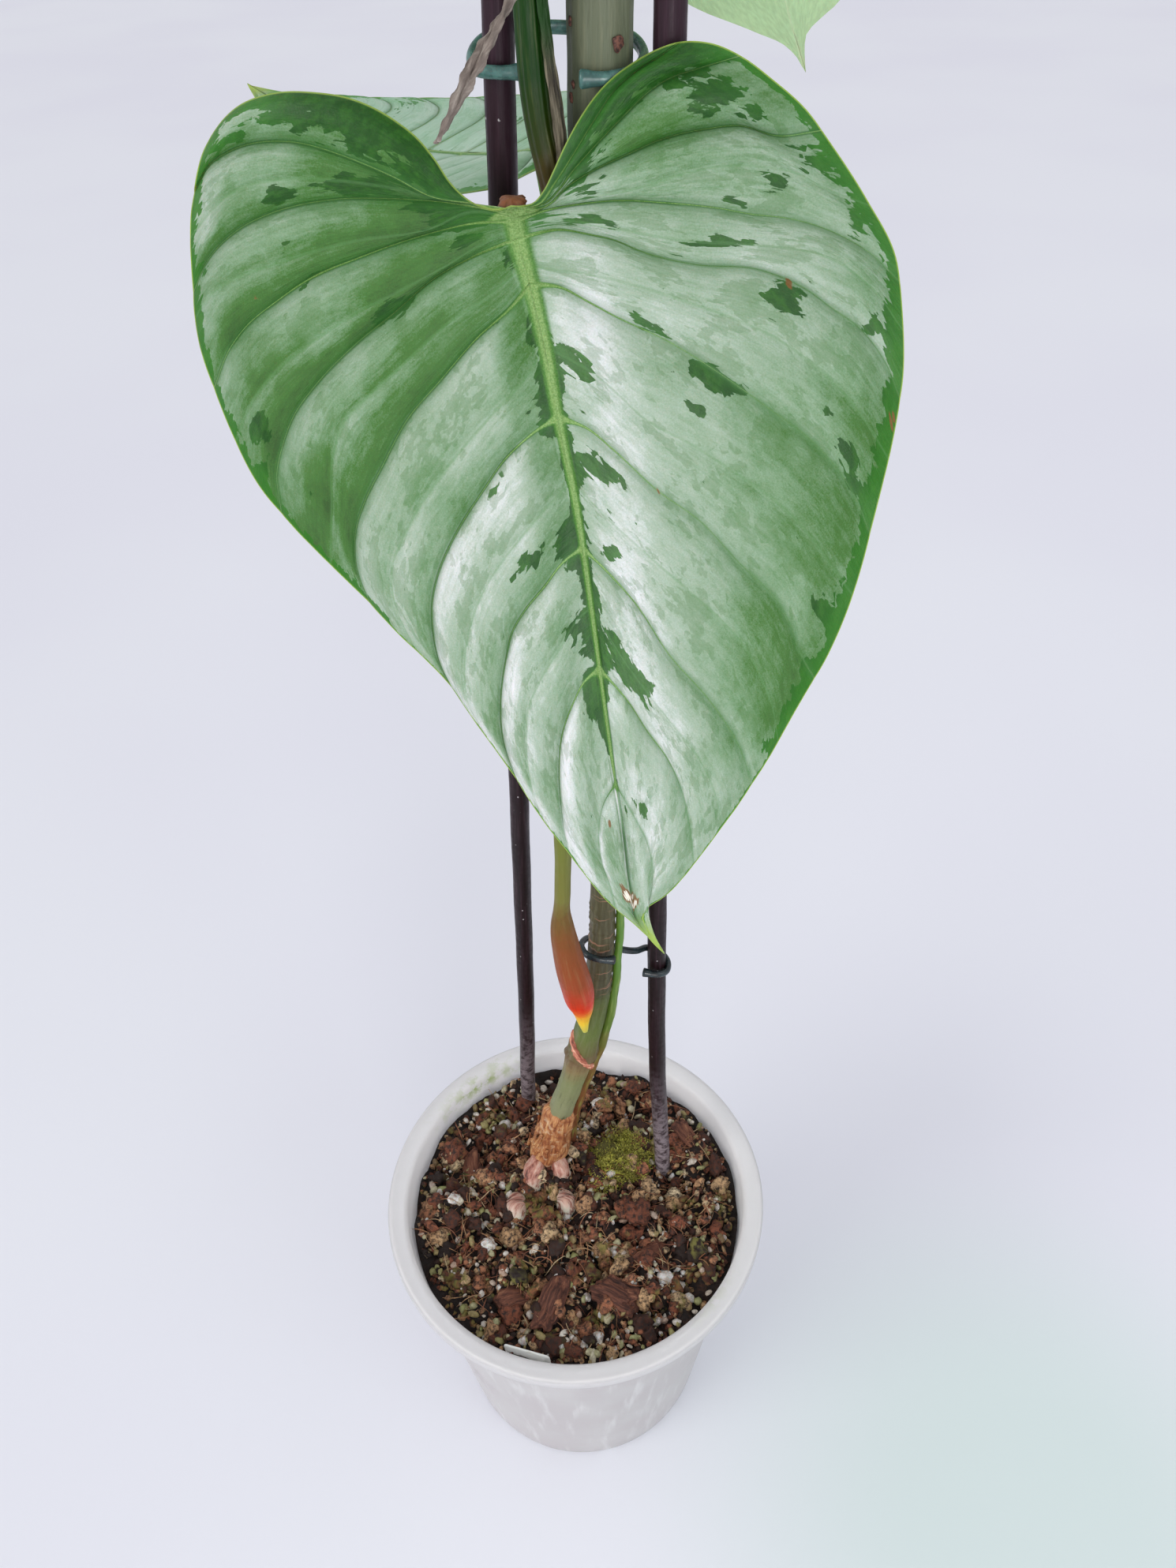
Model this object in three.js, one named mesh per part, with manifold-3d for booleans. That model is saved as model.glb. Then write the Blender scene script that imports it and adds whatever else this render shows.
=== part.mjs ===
// A potted climbing philodendron on two stakes, in millimetres, +Z up.
// The origin is the centre of the pot's base, on the surface that the pot stands on.
import * as THREE from 'three';
import { mergeVertices } from 'three/addons/utils/BufferGeometryUtils.js';
import Module from 'manifold-3d';

const wasm = await Module();
wasm.setup();

// The small gap that neighbouring pieces keep
const CLEARANCE = 0.3;

// Nursery pot, 12 cm across its rim
const POT_HEIGHT = 105;
const POT_RIM_RADIUS = 60;
const POT_MOUTH_RADIUS = 53.9;
const POT_BASE_RADIUS = 42.5;
const POT_WALL = 1.2;
const POT_FLOOR = 1.6;
const POT_SKIRT_DROP = 3.4;
const POT_SIDES = 44;
const DRAIN_HOLE_RADIUS = 3.5;
const DRAIN_CIRCLE_RADIUS = 29;
const DRAIN_HOLES = 8;
const FOOT_NOTCH_WIDTH = 13;
const FOOT_NOTCH_HEIGHT = 1.1;

// Potting mix
const SOIL_LEVEL = 95;
const SOIL_CROWN = 1.6;
const SOIL_ROUGHNESS = 1.1;
const SOIL_SIDES = 32;

// Stakes, steel tube in a plastic skin
const STAKE_RADIUS = 2.5;
const STAKE_TOP = 505;
const STAKE_FOOT = 14;
const STAKE_SIDES = 12;

// Support clips, bent from one round plastic rod each
const CLIP_ROD_RADIUS = 0.9;

// Plant label
const TAG_SIZE = { wide: 14, thick: 0.6, long: 62 };
const TAG_TOP = 102.6;

// Leaf blades
const BLADE_THICKNESS = 0.8;
const BLADE_RINGS = 4;
// How much of the midrib's bend carries on into the lobes behind the stalk
const LOBE_SHARE = 0.4;

const colours = {
  pot: 0xdcdce2, soil: 0x3c2a22, stake: 0x37282f, upperClip: 0x3f6f68, lowerClip: 0x2c3a40,
  tag: 0xf2f3f0, stem: 0x8a8f78, sheath: 0xb06a3c, root: 0xc9a89a, clingingRoot: 0x8e8a4a,
  petiole: 0x7d8a3c, upperPetiole: 0x3f6f2c, frontLeaf: 0x6d9577, backLeaf: 0x6b9a78,
  upperLeaf: 0xa5c49a, bud: 0xb9c08a, dry: 0x8a7a70, bark: 0x6e4634, perlite: 0xe6e3dc, moss: 0x5f6e2a,
};

const plant = new THREE.Group();

function addPiece(name, geometry, colour, roughness = 0.6) {
  const material = new THREE.MeshStandardMaterial({ color: colour, roughness, metalness: 0 });
  const mesh = new THREE.Mesh(geometry, material);
  mesh.name = name;
  plant.add(mesh);
}

// A closed geometry as a solid that can be joined and cut
function solidOf(geometry) {
  const bare = geometry.clone();
  bare.deleteAttribute('normal');
  bare.deleteAttribute('uv');
  const merged = mergeVertices(bare, 1e-4);
  return new wasm.Manifold(new wasm.Mesh({
    numProp: 3,
    vertProperties: new Float32Array(merged.attributes.position.array),
    triVerts: new Uint32Array(merged.index.array),
  }));
}

function geometryOf(solid) {
  const mesh = solid.getMesh();
  const geometry = new THREE.BufferGeometry();
  geometry.setAttribute('position', new THREE.BufferAttribute(mesh.vertProperties, 3));
  geometry.setIndex(new THREE.BufferAttribute(mesh.triVerts, 1));
  geometry.computeVertexNormals();
  return geometry;
}

function cutBy(geometry, ...tools) {
  let solid = solidOf(geometry);
  for (const tool of tools) solid = solid.subtract(solidOf(tool));
  return geometryOf(solid);
}

// A body turned about the pot's axis from a profile of [radius, height] corners
function turned(profile, sides) {
  const corners = profile.map(([radius, height]) => new THREE.Vector2(radius, height));
  return new THREE.LatheGeometry(corners, sides).rotateX(Math.PI / 2);
}

// A round limb through stations of [x, y, z, radius], thicker by `grown` all over
function limb(stations, { steps = 16, sides = 8, grown = 0 } = {}) {
  const path = new THREE.CatmullRomCurve3(stations.map(([x, y, z]) => new THREE.Vector3(x, y, z)));
  const unit = 0.1;
  const section = new THREE.Shape();
  for (let side = 0; side < sides; side += 1) {
    const angle = (side / sides) * 2 * Math.PI;
    const corner = [unit * Math.cos(angle), unit * Math.sin(angle)];
    if (side === 0) section.moveTo(...corner);
    else section.lineTo(...corner);
  }
  section.closePath();
  const geometry = new THREE.ExtrudeGeometry(section, { steps, bevelEnabled: false, extrudePath: path });
  const centres = path.getSpacedPoints(steps);
  const radii = centres.map((_, step) => {
    const station = path.getUtoTmapping(step / steps) * (stations.length - 1);
    const before = Math.min(Math.floor(station), stations.length - 2);
    return THREE.MathUtils.lerp(stations[before][3], stations[before + 1][3], station - before);
  });
  const position = geometry.attributes.position;
  const corner = new THREE.Vector3();
  for (let i = 0; i < position.count; i += 1) {
    corner.fromBufferAttribute(position, i);
    let ring = 0;
    for (let step = 1; step <= steps; step += 1) {
      if (corner.distanceToSquared(centres[step]) < corner.distanceToSquared(centres[ring])) ring = step;
    }
    corner.sub(centres[ring]).multiplyScalar((radii[ring] + grown) / unit).add(centres[ring]);
    if (ring === 0) corner.addScaledVector(path.getTangentAt(0), -grown);
    if (ring === steps) corner.addScaledVector(path.getTangentAt(1), grown);
    position.setXYZ(i, corner.x, corner.y, corner.z);
  }
  return geometry;
}

// A leaf blade: a heart outline of [across, along] points on a bent sheet.
// `root` is where the stalk meets the blade and `tip` is the far end of its midrib.
function blade({ root, tip, level, arch, fold, fallLeft, fallRight, outline, hub }) {
  const start = new THREE.Vector3(...root);
  const along = new THREE.Vector3(...tip).sub(start);
  const length = along.length();
  along.normalize();
  const across = new THREE.Vector3(...level);
  across.addScaledVector(along, -across.dot(along)).normalize();
  const face = new THREE.Vector3().crossVectors(along, across);
  const place = (u, v, lift) => {
    const share = v / length;
    const fall = u < 0 ? fallLeft : fallRight;
    const rise = 4 * arch * share * (1 - share) * (share < 0 ? LOBE_SHARE : 1);
    const height = rise + fold * Math.abs(u) - (u * u) / (2 * fall) + lift;
    return start.clone().addScaledVector(across, u).addScaledVector(along, v).addScaledVector(face, height);
  };
  const points = outline.length;
  const corners = [];
  const layer = (lift) => {
    const first = corners.length;
    corners.push(place(hub[0], hub[1], lift));
    for (let ring = 1; ring <= BLADE_RINGS; ring += 1) {
      const share = ring / BLADE_RINGS;
      for (const [edgeAcross, edgeAlong] of outline) {
        const u = THREE.MathUtils.lerp(hub[0], edgeAcross, share);
        const v = THREE.MathUtils.lerp(hub[1], edgeAlong, share);
        corners.push(place(u, v, lift));
      }
    }
    return first;
  };
  const top = layer(BLADE_THICKNESS / 2);
  const under = layer(-BLADE_THICKNESS / 2);
  const faces = [];
  const at = (first, ring, i) => (ring === 0 ? first : first + 1 + (ring - 1) * points + (i % points));
  for (let i = 0; i < points; i += 1) {
    for (let ring = 0; ring < BLADE_RINGS; ring += 1) {
      const [a, b] = [at(top, ring, i), at(top, ring, i + 1)];
      const [c, d] = [at(top, ring + 1, i), at(top, ring + 1, i + 1)];
      const [e, f] = [at(under, ring, i), at(under, ring, i + 1)];
      const [g, h] = [at(under, ring + 1, i), at(under, ring + 1, i + 1)];
      faces.push(c, d, a, g, e, h);
      if (ring > 0) faces.push(d, b, a, h, e, f);
    }
    const [c, d] = [at(top, BLADE_RINGS, i), at(top, BLADE_RINGS, i + 1)];
    const [g, h] = [at(under, BLADE_RINGS, i), at(under, BLADE_RINGS, i + 1)];
    faces.push(c, g, d, d, g, h);
  }
  const geometry = new THREE.BufferGeometry().setFromPoints(corners);
  geometry.setIndex(faces);
  geometry.computeVertexNormals();
  return geometry;
}

// Pot: thin frosted wall, flat rim with a short skirt, flat base with drain holes
const mouthFloorRadius = POT_BASE_RADIUS - POT_WALL;
const potProfile = [
  [0, 0], [POT_BASE_RADIUS - 1.6, 0], [POT_BASE_RADIUS, 1.6],
  [POT_MOUTH_RADIUS + POT_WALL - 0.6, POT_HEIGHT - 6], [POT_MOUTH_RADIUS + POT_WALL, POT_HEIGHT - 2],
  [POT_RIM_RADIUS - 1.2, POT_HEIGHT - 1.6], [POT_RIM_RADIUS - 1, POT_HEIGHT - POT_SKIRT_DROP],
  [POT_RIM_RADIUS - 0.1, POT_HEIGHT - POT_SKIRT_DROP], [POT_RIM_RADIUS, POT_HEIGHT - 0.9],
  [POT_RIM_RADIUS - 0.9, POT_HEIGHT], [POT_MOUTH_RADIUS + 0.9, POT_HEIGHT], [POT_MOUTH_RADIUS, POT_HEIGHT - 1],
  [POT_MOUTH_RADIUS - 0.6, POT_HEIGHT - 6], [mouthFloorRadius, POT_FLOOR + 1.4],
  [mouthFloorRadius - 1.4, POT_FLOOR], [0, POT_FLOOR],
];
const potCuts = [];
for (let hole = 0; hole < DRAIN_HOLES; hole += 1) {
  const angle = ((hole + 0.5) / DRAIN_HOLES) * 2 * Math.PI;
  const drain = new THREE.CylinderGeometry(DRAIN_HOLE_RADIUS, DRAIN_HOLE_RADIUS, 3 * POT_FLOOR, 10);
  drain.rotateX(Math.PI / 2).translate(
    DRAIN_CIRCLE_RADIUS * Math.cos(angle), DRAIN_CIRCLE_RADIUS * Math.sin(angle), POT_FLOOR / 2);
  const notch = new THREE.BoxGeometry(6, FOOT_NOTCH_WIDTH, 2 * FOOT_NOTCH_HEIGHT);
  notch.translate(POT_BASE_RADIUS, 0, 0).rotateZ(angle);
  potCuts.push(drain, notch);
}
addPiece('pot', cutBy(turned(potProfile, POT_SIDES), ...potCuts), colours.pot, 0.45);

// Stakes: pushed to the bottom of the mix, leaning together and to the front
const stakeStations = {
  stake_left: [
    [-14.5, 35, STAKE_FOOT], [-16.2, 39, 70], [-16.1, 39.8, 96], [-13.9, 35.8, 144],
    [-9.5, 27, 252], [-2.8, 14.8, 399], [2, 6.1, STAKE_TOP],
  ],
  stake_right: [
    [30.9, 14.6, STAKE_FOOT], [29.1, 13.1, 96], [26.4, 11.6, 155], [25.1, 9.9, 224],
    [23.7, 5.1, 421], [23.1, 3.1, STAKE_TOP],
  ],
};
const stakeLimb = (name, grown) => limb(
  stakeStations[name].map((centre) => [...centre, STAKE_RADIUS]), { steps: 10, sides: STAKE_SIDES, grown });
for (const name of Object.keys(stakeStations)) addPiece(name, stakeLimb(name, 0), colours.stake, 0.5);

// Stem: one climbing shoot, thin at the bottom and thick where it leaves the photograph
const stemStations = [
  [-14, 21.5, 78, 3.3], [-11.5, 19, 92, 3.6], [-8.3, 16, 105, 3.8], [-2.8, 10.9, 137, 3.75],
  [2.5, 6.5, 164, 3.9], [3.6, 6, 170, 4.3], [5.2, 5.2, 178, 3.95], [9, 3.5, 204, 3.6],
  [10.7, 2.8, 231, 3.2], [11.6, 3.1, 262, 3.4], [11.9, 3.8, 284, 4], [12, 4, 291, 4.5],
  [12.1, 4.2, 299, 4], [12.7, 5.4, 345, 4.6], [13.2, 6.3, 388, 5], [13.3, 6.5, 396, 5.6],
  [13.3, 6.7, 404, 5.2], [14, 7.3, 440, 5.2], [14.2, 7.4, 450, 5.5], [14.3, 7.4, 456, 4.4],
];
const stemLimb = (grown) => limb(stemStations, { steps: 42, sides: 10, grown });
addPiece('stem', stemLimb(0), colours.stem, 0.6);

// Young leaf still rolled in its sheath, at the growing tip
const budStations = [
  [14.4, 7.3, 456.9, 4], [15, 6.4, 466, 4.1], [16.2, 4, 482, 3.1], [17.8, 1.6, 500, 1.7],
  [18.8, -0.2, 515, 0.35],
];
addPiece('rolled_new_leaf', limb(budStations, { steps: 12, sides: 10 }), colours.bud, 0.5);

// Papery old sheath round the foot of the stem
const sheathStations = [
  [-10.6, 18.2, 97.5, 5.6], [-8.3, 16, 105, 6.4], [-6.3, 14.1, 117, 5.9], [-3.5, 11.5, 134, 4.9],
];
const sheathLimb = (grown) => limb(sheathStations, { steps: 6, sides: 10, grown });
addPiece('base_sheath', cutBy(sheathLimb(0), stemLimb(CLEARANCE)), colours.sheath, 0.85);

// Root that runs down the stem's right side into the mix
const clingingRootStations = [
  [17.4, 5.2, 287, 0.9], [16.3, 4.2, 262, 1.2], [15.4, 3.6, 233, 1.3], [14.6, 4, 215, 1.3],
  [13.2, 5.4, 196, 1.5], [10.3, 7.2, 176, 1.6], [6.4, 10.6, 156, 1.6], [2.9, 13.7, 138, 1.6],
  [0.4, 18.4, 118, 1.7], [-1, 22, 100, 1.6], [-2.2, 23.6, 86, 1.3],
];
const clingingRootLimb = (grown) => limb(clingingRootStations, { steps: 24, sides: 6, grown });
const clingingRoot = cutBy(clingingRootLimb(0), stemLimb(CLEARANCE), sheathLimb(CLEARANCE));
addPiece('clinging_root', clingingRoot, colours.clingingRoot, 0.7);

// Short thick roots that leave the foot of the stem and dive into the mix
const stubRoots = [
  [[-13.2, 13.8, 103, 1.7], [-14.6, 11.0, 98, 2.3], [-15.6, 8.8, 91, 1.7]],
  [[-6.0, 10.6, 104, 1.6], [-5.3, 8.4, 98.5, 2.2], [-4.8, 6.8, 91, 1.6]],
  [[-1.2, 11.6, 104, 1.3], [0.6, 6.0, 99, 1.8], [1.4, 2.6, 91, 1.4]],
  [[-17.6, 15, 101, 1.5], [-20.8, 7.6, 98.5, 2.2], [-22.2, 3, 91, 1.6]],
];
const stubRootLimb = (stations, grown) => limb(stations, { steps: 4, sides: 6, grown });
stubRoots.forEach((stations, i) => {
  const root = cutBy(stubRootLimb(stations, 0), sheathLimb(CLEARANCE), stemLimb(CLEARANCE));
  addPiece(`stub_root_${i + 1}`, root, colours.root, 0.65);
});

// Leaf stalks
const frontPetioleStations = [
  [5, 1, 188, 1.1], [4.6, -2.2, 200, 2.2], [4.6, -5.2, 209, 3.5], [3.9, -8.1, 219, 4],
  [2.1, -8.4, 231, 3.6], [1.2, -8.1, 242, 2.7], [1, -7.8, 250, 2.05], [2, -8, 267, 2],
  [2, -5.5, 310, 1.9], [0.6, -2.4, 360, 1.85], [-0.5, -1, 392, 1.9], [-0.65, -2.4, 402.2, 1.8],
];
const backPetioleStations = [
  [12, 8.8, 292, 2], [11.6, 13.5, 302, 2.4], [10.7, 19, 320, 2.1], [9, 28.5, 350, 1.8],
  [6.4, 38.8, 379, 1.7], [3.2, 48.5, 395.2, 1.7],
];
const upperPetioleStations = [
  [8.4, 3, 392, 1.6], [6.4, 3.2, 402, 2.4], [4.8, 3.5, 409, 2.45], [3.5, 3.1, 426, 2.4],
  [3.6, 1.4, 446, 2.3], [5.6, 1.4, 464, 2.2], [7.8, 6.4, 482, 2.1], [6.6, 14.4, 499, 1.9],
  [2.3, 26.1, 513.7, 1.8],
];
const petiole = (stations, steps) => cutBy(limb(stations, { steps, sides: 8 }), stemLimb(CLEARANCE));
addPiece('petiole_front', petiole(frontPetioleStations, 36), colours.petiole, 0.5);
addPiece('petiole_back', petiole(backPetioleStations, 14), colours.petiole, 0.5);
addPiece('petiole_upper', petiole(upperPetioleStations, 26), colours.upperPetiole, 0.45);

// Leaf outlines as [across, along] points, from the stalk round one lobe, the tip and the other lobe
const frontHeart = [
  [0, 0], [-2.5, 0.2], [-4.5, -0.6], [-6.4, -2], [-8.4, -4.6], [-10, -8.1], [-11.8, -11.1],
  [-14.7, -14.1], [-17.7, -16.4], [-21.5, -18.4], [-25.6, -19.7], [-31.7, -20.8], [-38.7, -20.2],
  [-45.5, -16.5], [-51.1, -9.5], [-55.8, 1.7], [-58.1, 11.3], [-57.3, 24.3], [-54.4, 36.7],
  [-47, 48.4], [-41.5, 56], [-36.1, 63.9], [-29.6, 73.9], [-25, 86.1], [-21.3, 96.5],
  [-16.7, 111.8], [-12.6, 123.2], [-7.8, 133.2], [-4, 140.9], [0, 150.4], [-0.3, 139], [4, 131.9],
  [13.8, 119.5], [23.1, 107.5], [33.7, 92], [40.4, 82.1], [46.5, 69.7], [51, 57.5], [54.7, 46.8],
  [57.2, 37.2], [57.9, 27.6], [57.4, 18.6], [53.7, 10.1], [49.5, 2.4], [45.4, -4.1], [41.1, -8.6],
  [36.9, -12.4], [32.6, -14.9], [28.1, -15.9], [24.6, -15.6], [20.9, -14.6], [18.1, -13.5],
  [15.4, -11.9], [12.4, -9.4], [9.4, -6.2], [7, -3.2], [5, -0.9], [3.2, 0.3], [1.4, 0.3],
];
const backHalf = [
  [2, -2], [5.7, -9.9], [13.1, -16.5], [20.5, -17.6], [27.1, -10.5], [32, 3.3], [34, 19.8],
  [32.8, 38], [28.7, 56], [22.5, 76], [15.2, 95.7], [8.6, 112.8], [3.6, 124.3], [1.5, 131],
];
const backHeart = [
  [0, 0], ...backHalf.map(([u, v]) => [-u, v]), [0, 136], ...backHalf.slice().reverse(),
];
const upperHeart = [
  [0, 0], [-2.6, -1.8], [-8, -9], [-18, -14.5], [-28, -15], [-37, -9], [-44, 4], [-46.5, 18],
  [-45, 34], [-40, 54], [-33, 74], [-26, 92], [-19, 107], [-13.5, 116], [-8.8, 120.4],
  [-5.5, 121.7], [-2.2, 123.5], [-1.1, 126.3], [-0.5, 130], [0.5, 126.8], [2.1, 124.1], [6.5, 120.4],
  [11.5, 116.4], [17, 111.5], [24.5, 102], [31, 90], [37.5, 72], [43, 52], [46, 34], [46.5, 18],
  [44, 4], [37, -9], [28, -15], [18, -14.5], [8, -9], [2.6, -1.8],
];
// `fold` is how steeply the two halves rise from the midrib
const leaves = {
  leaf_front: {
    root: [-0.6, -5.1, 402.1], tip: [23.7, -29.8, 255.8], level: [0.986, 0, 0.164], arch: 8,
    fold: 0, fallLeft: 120, fallRight: 220, outline: frontHeart, hub: [-9, 30],
  },
  leaf_back: {
    root: [3.5, 48, 397], tip: [-75.3, 158.4, 388.1], level: [-0.801, -0.583, -0.139], arch: -6.2,
    fold: 0.1, fallLeft: 500, fallRight: 230, outline: backHeart, hub: [0, 20],
  },
  leaf_upper: {
    root: [1, 27, 516], tip: [54.3, 66.7, 405.7], level: [-0.9, 0.29, -0.33], arch: 8,
    fold: 0, fallLeft: 200, fallRight: 200, outline: upperHeart, hub: [0, 21],
  },
};
addPiece('leaf_front', blade(leaves.leaf_front), colours.frontLeaf, 0.45);
addPiece('leaf_back', blade(leaves.leaf_back), colours.backLeaf, 0.45);
addPiece('leaf_upper', blade(leaves.leaf_upper), colours.upperLeaf, 0.5);

// Dried-up old sheath hanging to the front from the top of the stem
const driedStations = [
  [12.2, 1.2, 447, 0.9], [8, -7, 442, 1], [2.3, -19.5, 431.5, 0.9], [-3, -30, 425, 0.8],
  [-7.5, -39, 419, 0.4],
];
addPiece('dried_sheath', limb(driedStations, { steps: 10, sides: 6 }), colours.dry, 0.9);

// Clips: each rod passes round the stem and one stake and stays open at the front
const upperClipRoute = [
  [1.9, 9.4, 416.9], [-2, 9.3, 416.9], [-5.4, 10.6, 417.2], [-6.2, 13.6, 418.2], [-4.6, 17, 419.8],
  [-1, 17.8, 420.8], [5, 15.6, 421.6], [10, 14, 421.6], [14.8, 13.9, 421.2], [18.6, 11.6, 420.3],
  [19.95, 7.4, 418.9], [18.2, 2.6, 417.8], [14.4, 0.4, 417.4], [10.4, 0.5, 417.4],
];
const lowerClipRoute = [
  [13.4, -1.7, 220.8], [10, -2.1, 221.6], [6.6, -0.8, 222], [5.2, 2.6, 221.6], [6.6, 6.4, 220],
  [10, 8.2, 217.8], [15, 8.6, 214.8], [19.8, 10.6, 212.8], [23, 13.6, 211.4], [26.4, 13.9, 210],
  [29, 11.2, 208], [28.2, 7.8, 206], [25.2, 6.3, 204.8], [21.6, 7.2, 204.8],
];
const clip = (route) => limb(
  route.map((centre) => [...centre, CLIP_ROD_RADIUS]), { steps: 30, sides: 6 });
addPiece('clip_upper', clip(upperClipRoute), colours.upperClip, 0.4);
addPiece('clip_lower', clip(lowerClipRoute), colours.lowerClip, 0.4);

// Plant label: a plain strip between the mix and the front wall
const tagLean = Math.atan2(POT_MOUTH_RADIUS - POT_BASE_RADIUS, POT_HEIGHT);
const tagTurn = THREE.MathUtils.degToRad(-17);
const tagShape = (grown) => {
  const strip = new THREE.BoxGeometry(
    TAG_SIZE.wide + 2 * grown, TAG_SIZE.thick + 2 * grown, TAG_SIZE.long + 2 * grown);
  strip.translate(0, 0, -TAG_SIZE.long / 2).rotateX(tagLean);
  return strip.translate(0, -POT_MOUTH_RADIUS + 2.6, TAG_TOP).rotateZ(tagTurn);
};
addPiece('plant_label', tagShape(0), colours.tag, 0.4);

// What lies on the mix: bark chips, perlite and a cushion of moss, each sunk a little into it
const chips = [
  { at: [-8, -34], size: [7.5, 3.4, 2.6], turn: 65 }, { at: [-19, -30], size: [6, 3.6, 2.4], turn: 20 },
  { at: [12, -32], size: [7, 4.4, 2.6], turn: -30 }, { at: [23, -18], size: [6.4, 3.2, 2.2], turn: 35 },
  { at: [-35, 14], size: [6, 3.2, 2.2], turn: 100 }, { at: [38, 22], size: [5.6, 3.4, 2.2], turn: -60 },
];
const grains = [
  { at: [-28, -14], radius: 2.6 }, { at: [-39.5, 0], radius: 2.2 }, { at: [27, -26], radius: 2.4 },
  { at: [32, -27.5], radius: 2.0 }, { at: [9, 36], radius: 2.7 }, { at: [-5, -24], radius: 2.6 },
  { at: [-24, 30], radius: 2.3 }, { at: [33, 2], radius: 2.0 },
];
const mossCushion = { at: [16.5, 16.5], size: [9.5, 8, 2.6], turn: 20 };
const soilHeight = (x, y) => {
  const spread = Math.hypot(x, y) / POT_MOUTH_RADIUS;
  const lumps = Math.sin(x * 0.31 + 1.3) * Math.cos(y * 0.27 + 0.4) + 0.7 * Math.sin(x * 0.13 - y * 0.19);
  return SOIL_LEVEL + SOIL_CROWN * (1 - spread * spread) + SOIL_ROUGHNESS * lumps;
};
const lump = ({ at, size, turn }, grown) => {
  const shape = new THREE.IcosahedronGeometry(1);
  shape.scale(size[0] + grown, size[1] + grown, size[2] + grown).rotateZ(THREE.MathUtils.degToRad(turn));
  return shape.translate(at[0], at[1], soilHeight(...at) + 0.15 * size[2]);
};
const grainLump = ({ at, radius }) => ({ at, size: [radius, radius * 0.85, radius * 0.8], turn: at[0] * 9 });
chips.forEach((chip, i) => addPiece(`bark_chip_${i + 1}`, lump(chip, 0), colours.bark, 0.9));
grains.forEach((grain, i) => addPiece(`perlite_${i + 1}`, lump(grainLump(grain), 0), colours.perlite, 0.9));
addPiece('moss_cushion', lump(mossCushion, 0), colours.moss, 1);

// Potting mix: fills the pot to a lumpy top, with a pocket for everything that stands in it
const soilProfile = [[0, POT_FLOOR + CLEARANCE], [mouthFloorRadius - 1.9, POT_FLOOR + CLEARANCE],
  [mouthFloorRadius - 0.45, POT_FLOOR + 1.6]];
const soilEdgeRadius = THREE.MathUtils.mapLinear(
  SOIL_LEVEL, POT_FLOOR + 1.4, POT_HEIGHT - 6, mouthFloorRadius, POT_MOUTH_RADIUS - 0.6) - 0.5;
const soilRings = [1, 0.84, 0.66, 0.44, 0.22];
const soilTop = soilRings.map((share) => [soilEdgeRadius * share, SOIL_LEVEL]);
const soilBody = turned([...soilProfile, ...soilTop, [0, SOIL_LEVEL]], SOIL_SIDES);
const soilCorners = soilBody.attributes.position;
for (let i = 0; i < soilCorners.count; i += 1) {
  if (soilCorners.getZ(i) > SOIL_LEVEL - 1) {
    soilCorners.setZ(i, soilHeight(soilCorners.getX(i), soilCorners.getY(i)));
  }
}
const pockets = [
  ...Object.keys(stakeStations).map((name) => stakeLimb(name, CLEARANCE)),
  stemLimb(CLEARANCE), sheathLimb(CLEARANCE), clingingRootLimb(CLEARANCE), tagShape(CLEARANCE),
  ...stubRoots.map((stations) => stubRootLimb(stations, CLEARANCE)),
  ...chips.map((chip) => lump(chip, CLEARANCE)),
  ...grains.map((grain) => lump(grainLump(grain), CLEARANCE)),
  lump(mossCushion, CLEARANCE),
];
addPiece('potting_mix', cutBy(soilBody, ...pockets), colours.soil, 1);

export default plant;
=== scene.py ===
import math

import bmesh
import bpy
import numpy as np
from mathutils import Matrix, Vector


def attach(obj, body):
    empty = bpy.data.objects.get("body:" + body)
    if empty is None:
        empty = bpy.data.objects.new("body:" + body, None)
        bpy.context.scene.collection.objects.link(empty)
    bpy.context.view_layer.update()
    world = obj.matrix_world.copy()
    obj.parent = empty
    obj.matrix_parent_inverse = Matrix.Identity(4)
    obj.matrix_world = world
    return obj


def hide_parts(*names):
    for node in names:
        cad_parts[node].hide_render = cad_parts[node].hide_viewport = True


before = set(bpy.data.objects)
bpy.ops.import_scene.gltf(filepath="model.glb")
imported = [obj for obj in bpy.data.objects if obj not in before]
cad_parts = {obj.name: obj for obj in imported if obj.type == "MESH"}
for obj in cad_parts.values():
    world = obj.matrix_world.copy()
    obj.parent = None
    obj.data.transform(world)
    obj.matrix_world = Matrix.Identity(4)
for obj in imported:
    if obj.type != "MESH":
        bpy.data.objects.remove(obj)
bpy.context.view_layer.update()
scene = bpy.context.scene

# Camera
# It stands where the photograph was taken from: in front of the plant, above it, and tilted down.
PICTURE_HEIGHT = 1987
FOCAL_LENGTH = 1500
SENSOR_HEIGHT = 36
CAMERA_PLACE = (0.0082, -0.1971, 0.4558)
CAMERA_DOWN = 41.77
CAMERA_ROLL = -1.8
camera_data = bpy.data.cameras.new("camera")
camera_data.sensor_fit = "VERTICAL"
camera_data.sensor_height = SENSOR_HEIGHT
camera_data.lens = SENSOR_HEIGHT * FOCAL_LENGTH / PICTURE_HEIGHT
camera_data.clip_start = 0.01
camera = bpy.data.objects.new("camera", camera_data)
scene.collection.objects.link(camera)
camera.matrix_world = (
    Matrix.Translation(CAMERA_PLACE)
    @ Matrix.Rotation(math.radians(90 - CAMERA_DOWN), 4, "X")
    @ Matrix.Rotation(math.radians(CAMERA_ROLL), 4, "Z"))
scene.camera = camera

# Floor and light
# A wide sheet of pale paper that the pot stands on, lit by a bright room, low soft daylight from
# the left, a tall bright opening in front and a weak greenish window at the right.
MM = 0.001
FLOOR_HALF_WIDTH = 12
FLOOR_COLOUR = (238, 239, 248)
# Middle of a faint greenish shadow painted on the paper at the pot's right front, in metres
PAINTED_GREEN_SHADE_PLACE = (0.15, -0.07, 0)
ROOM_COLOUR = (247, 247, 252)


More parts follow.
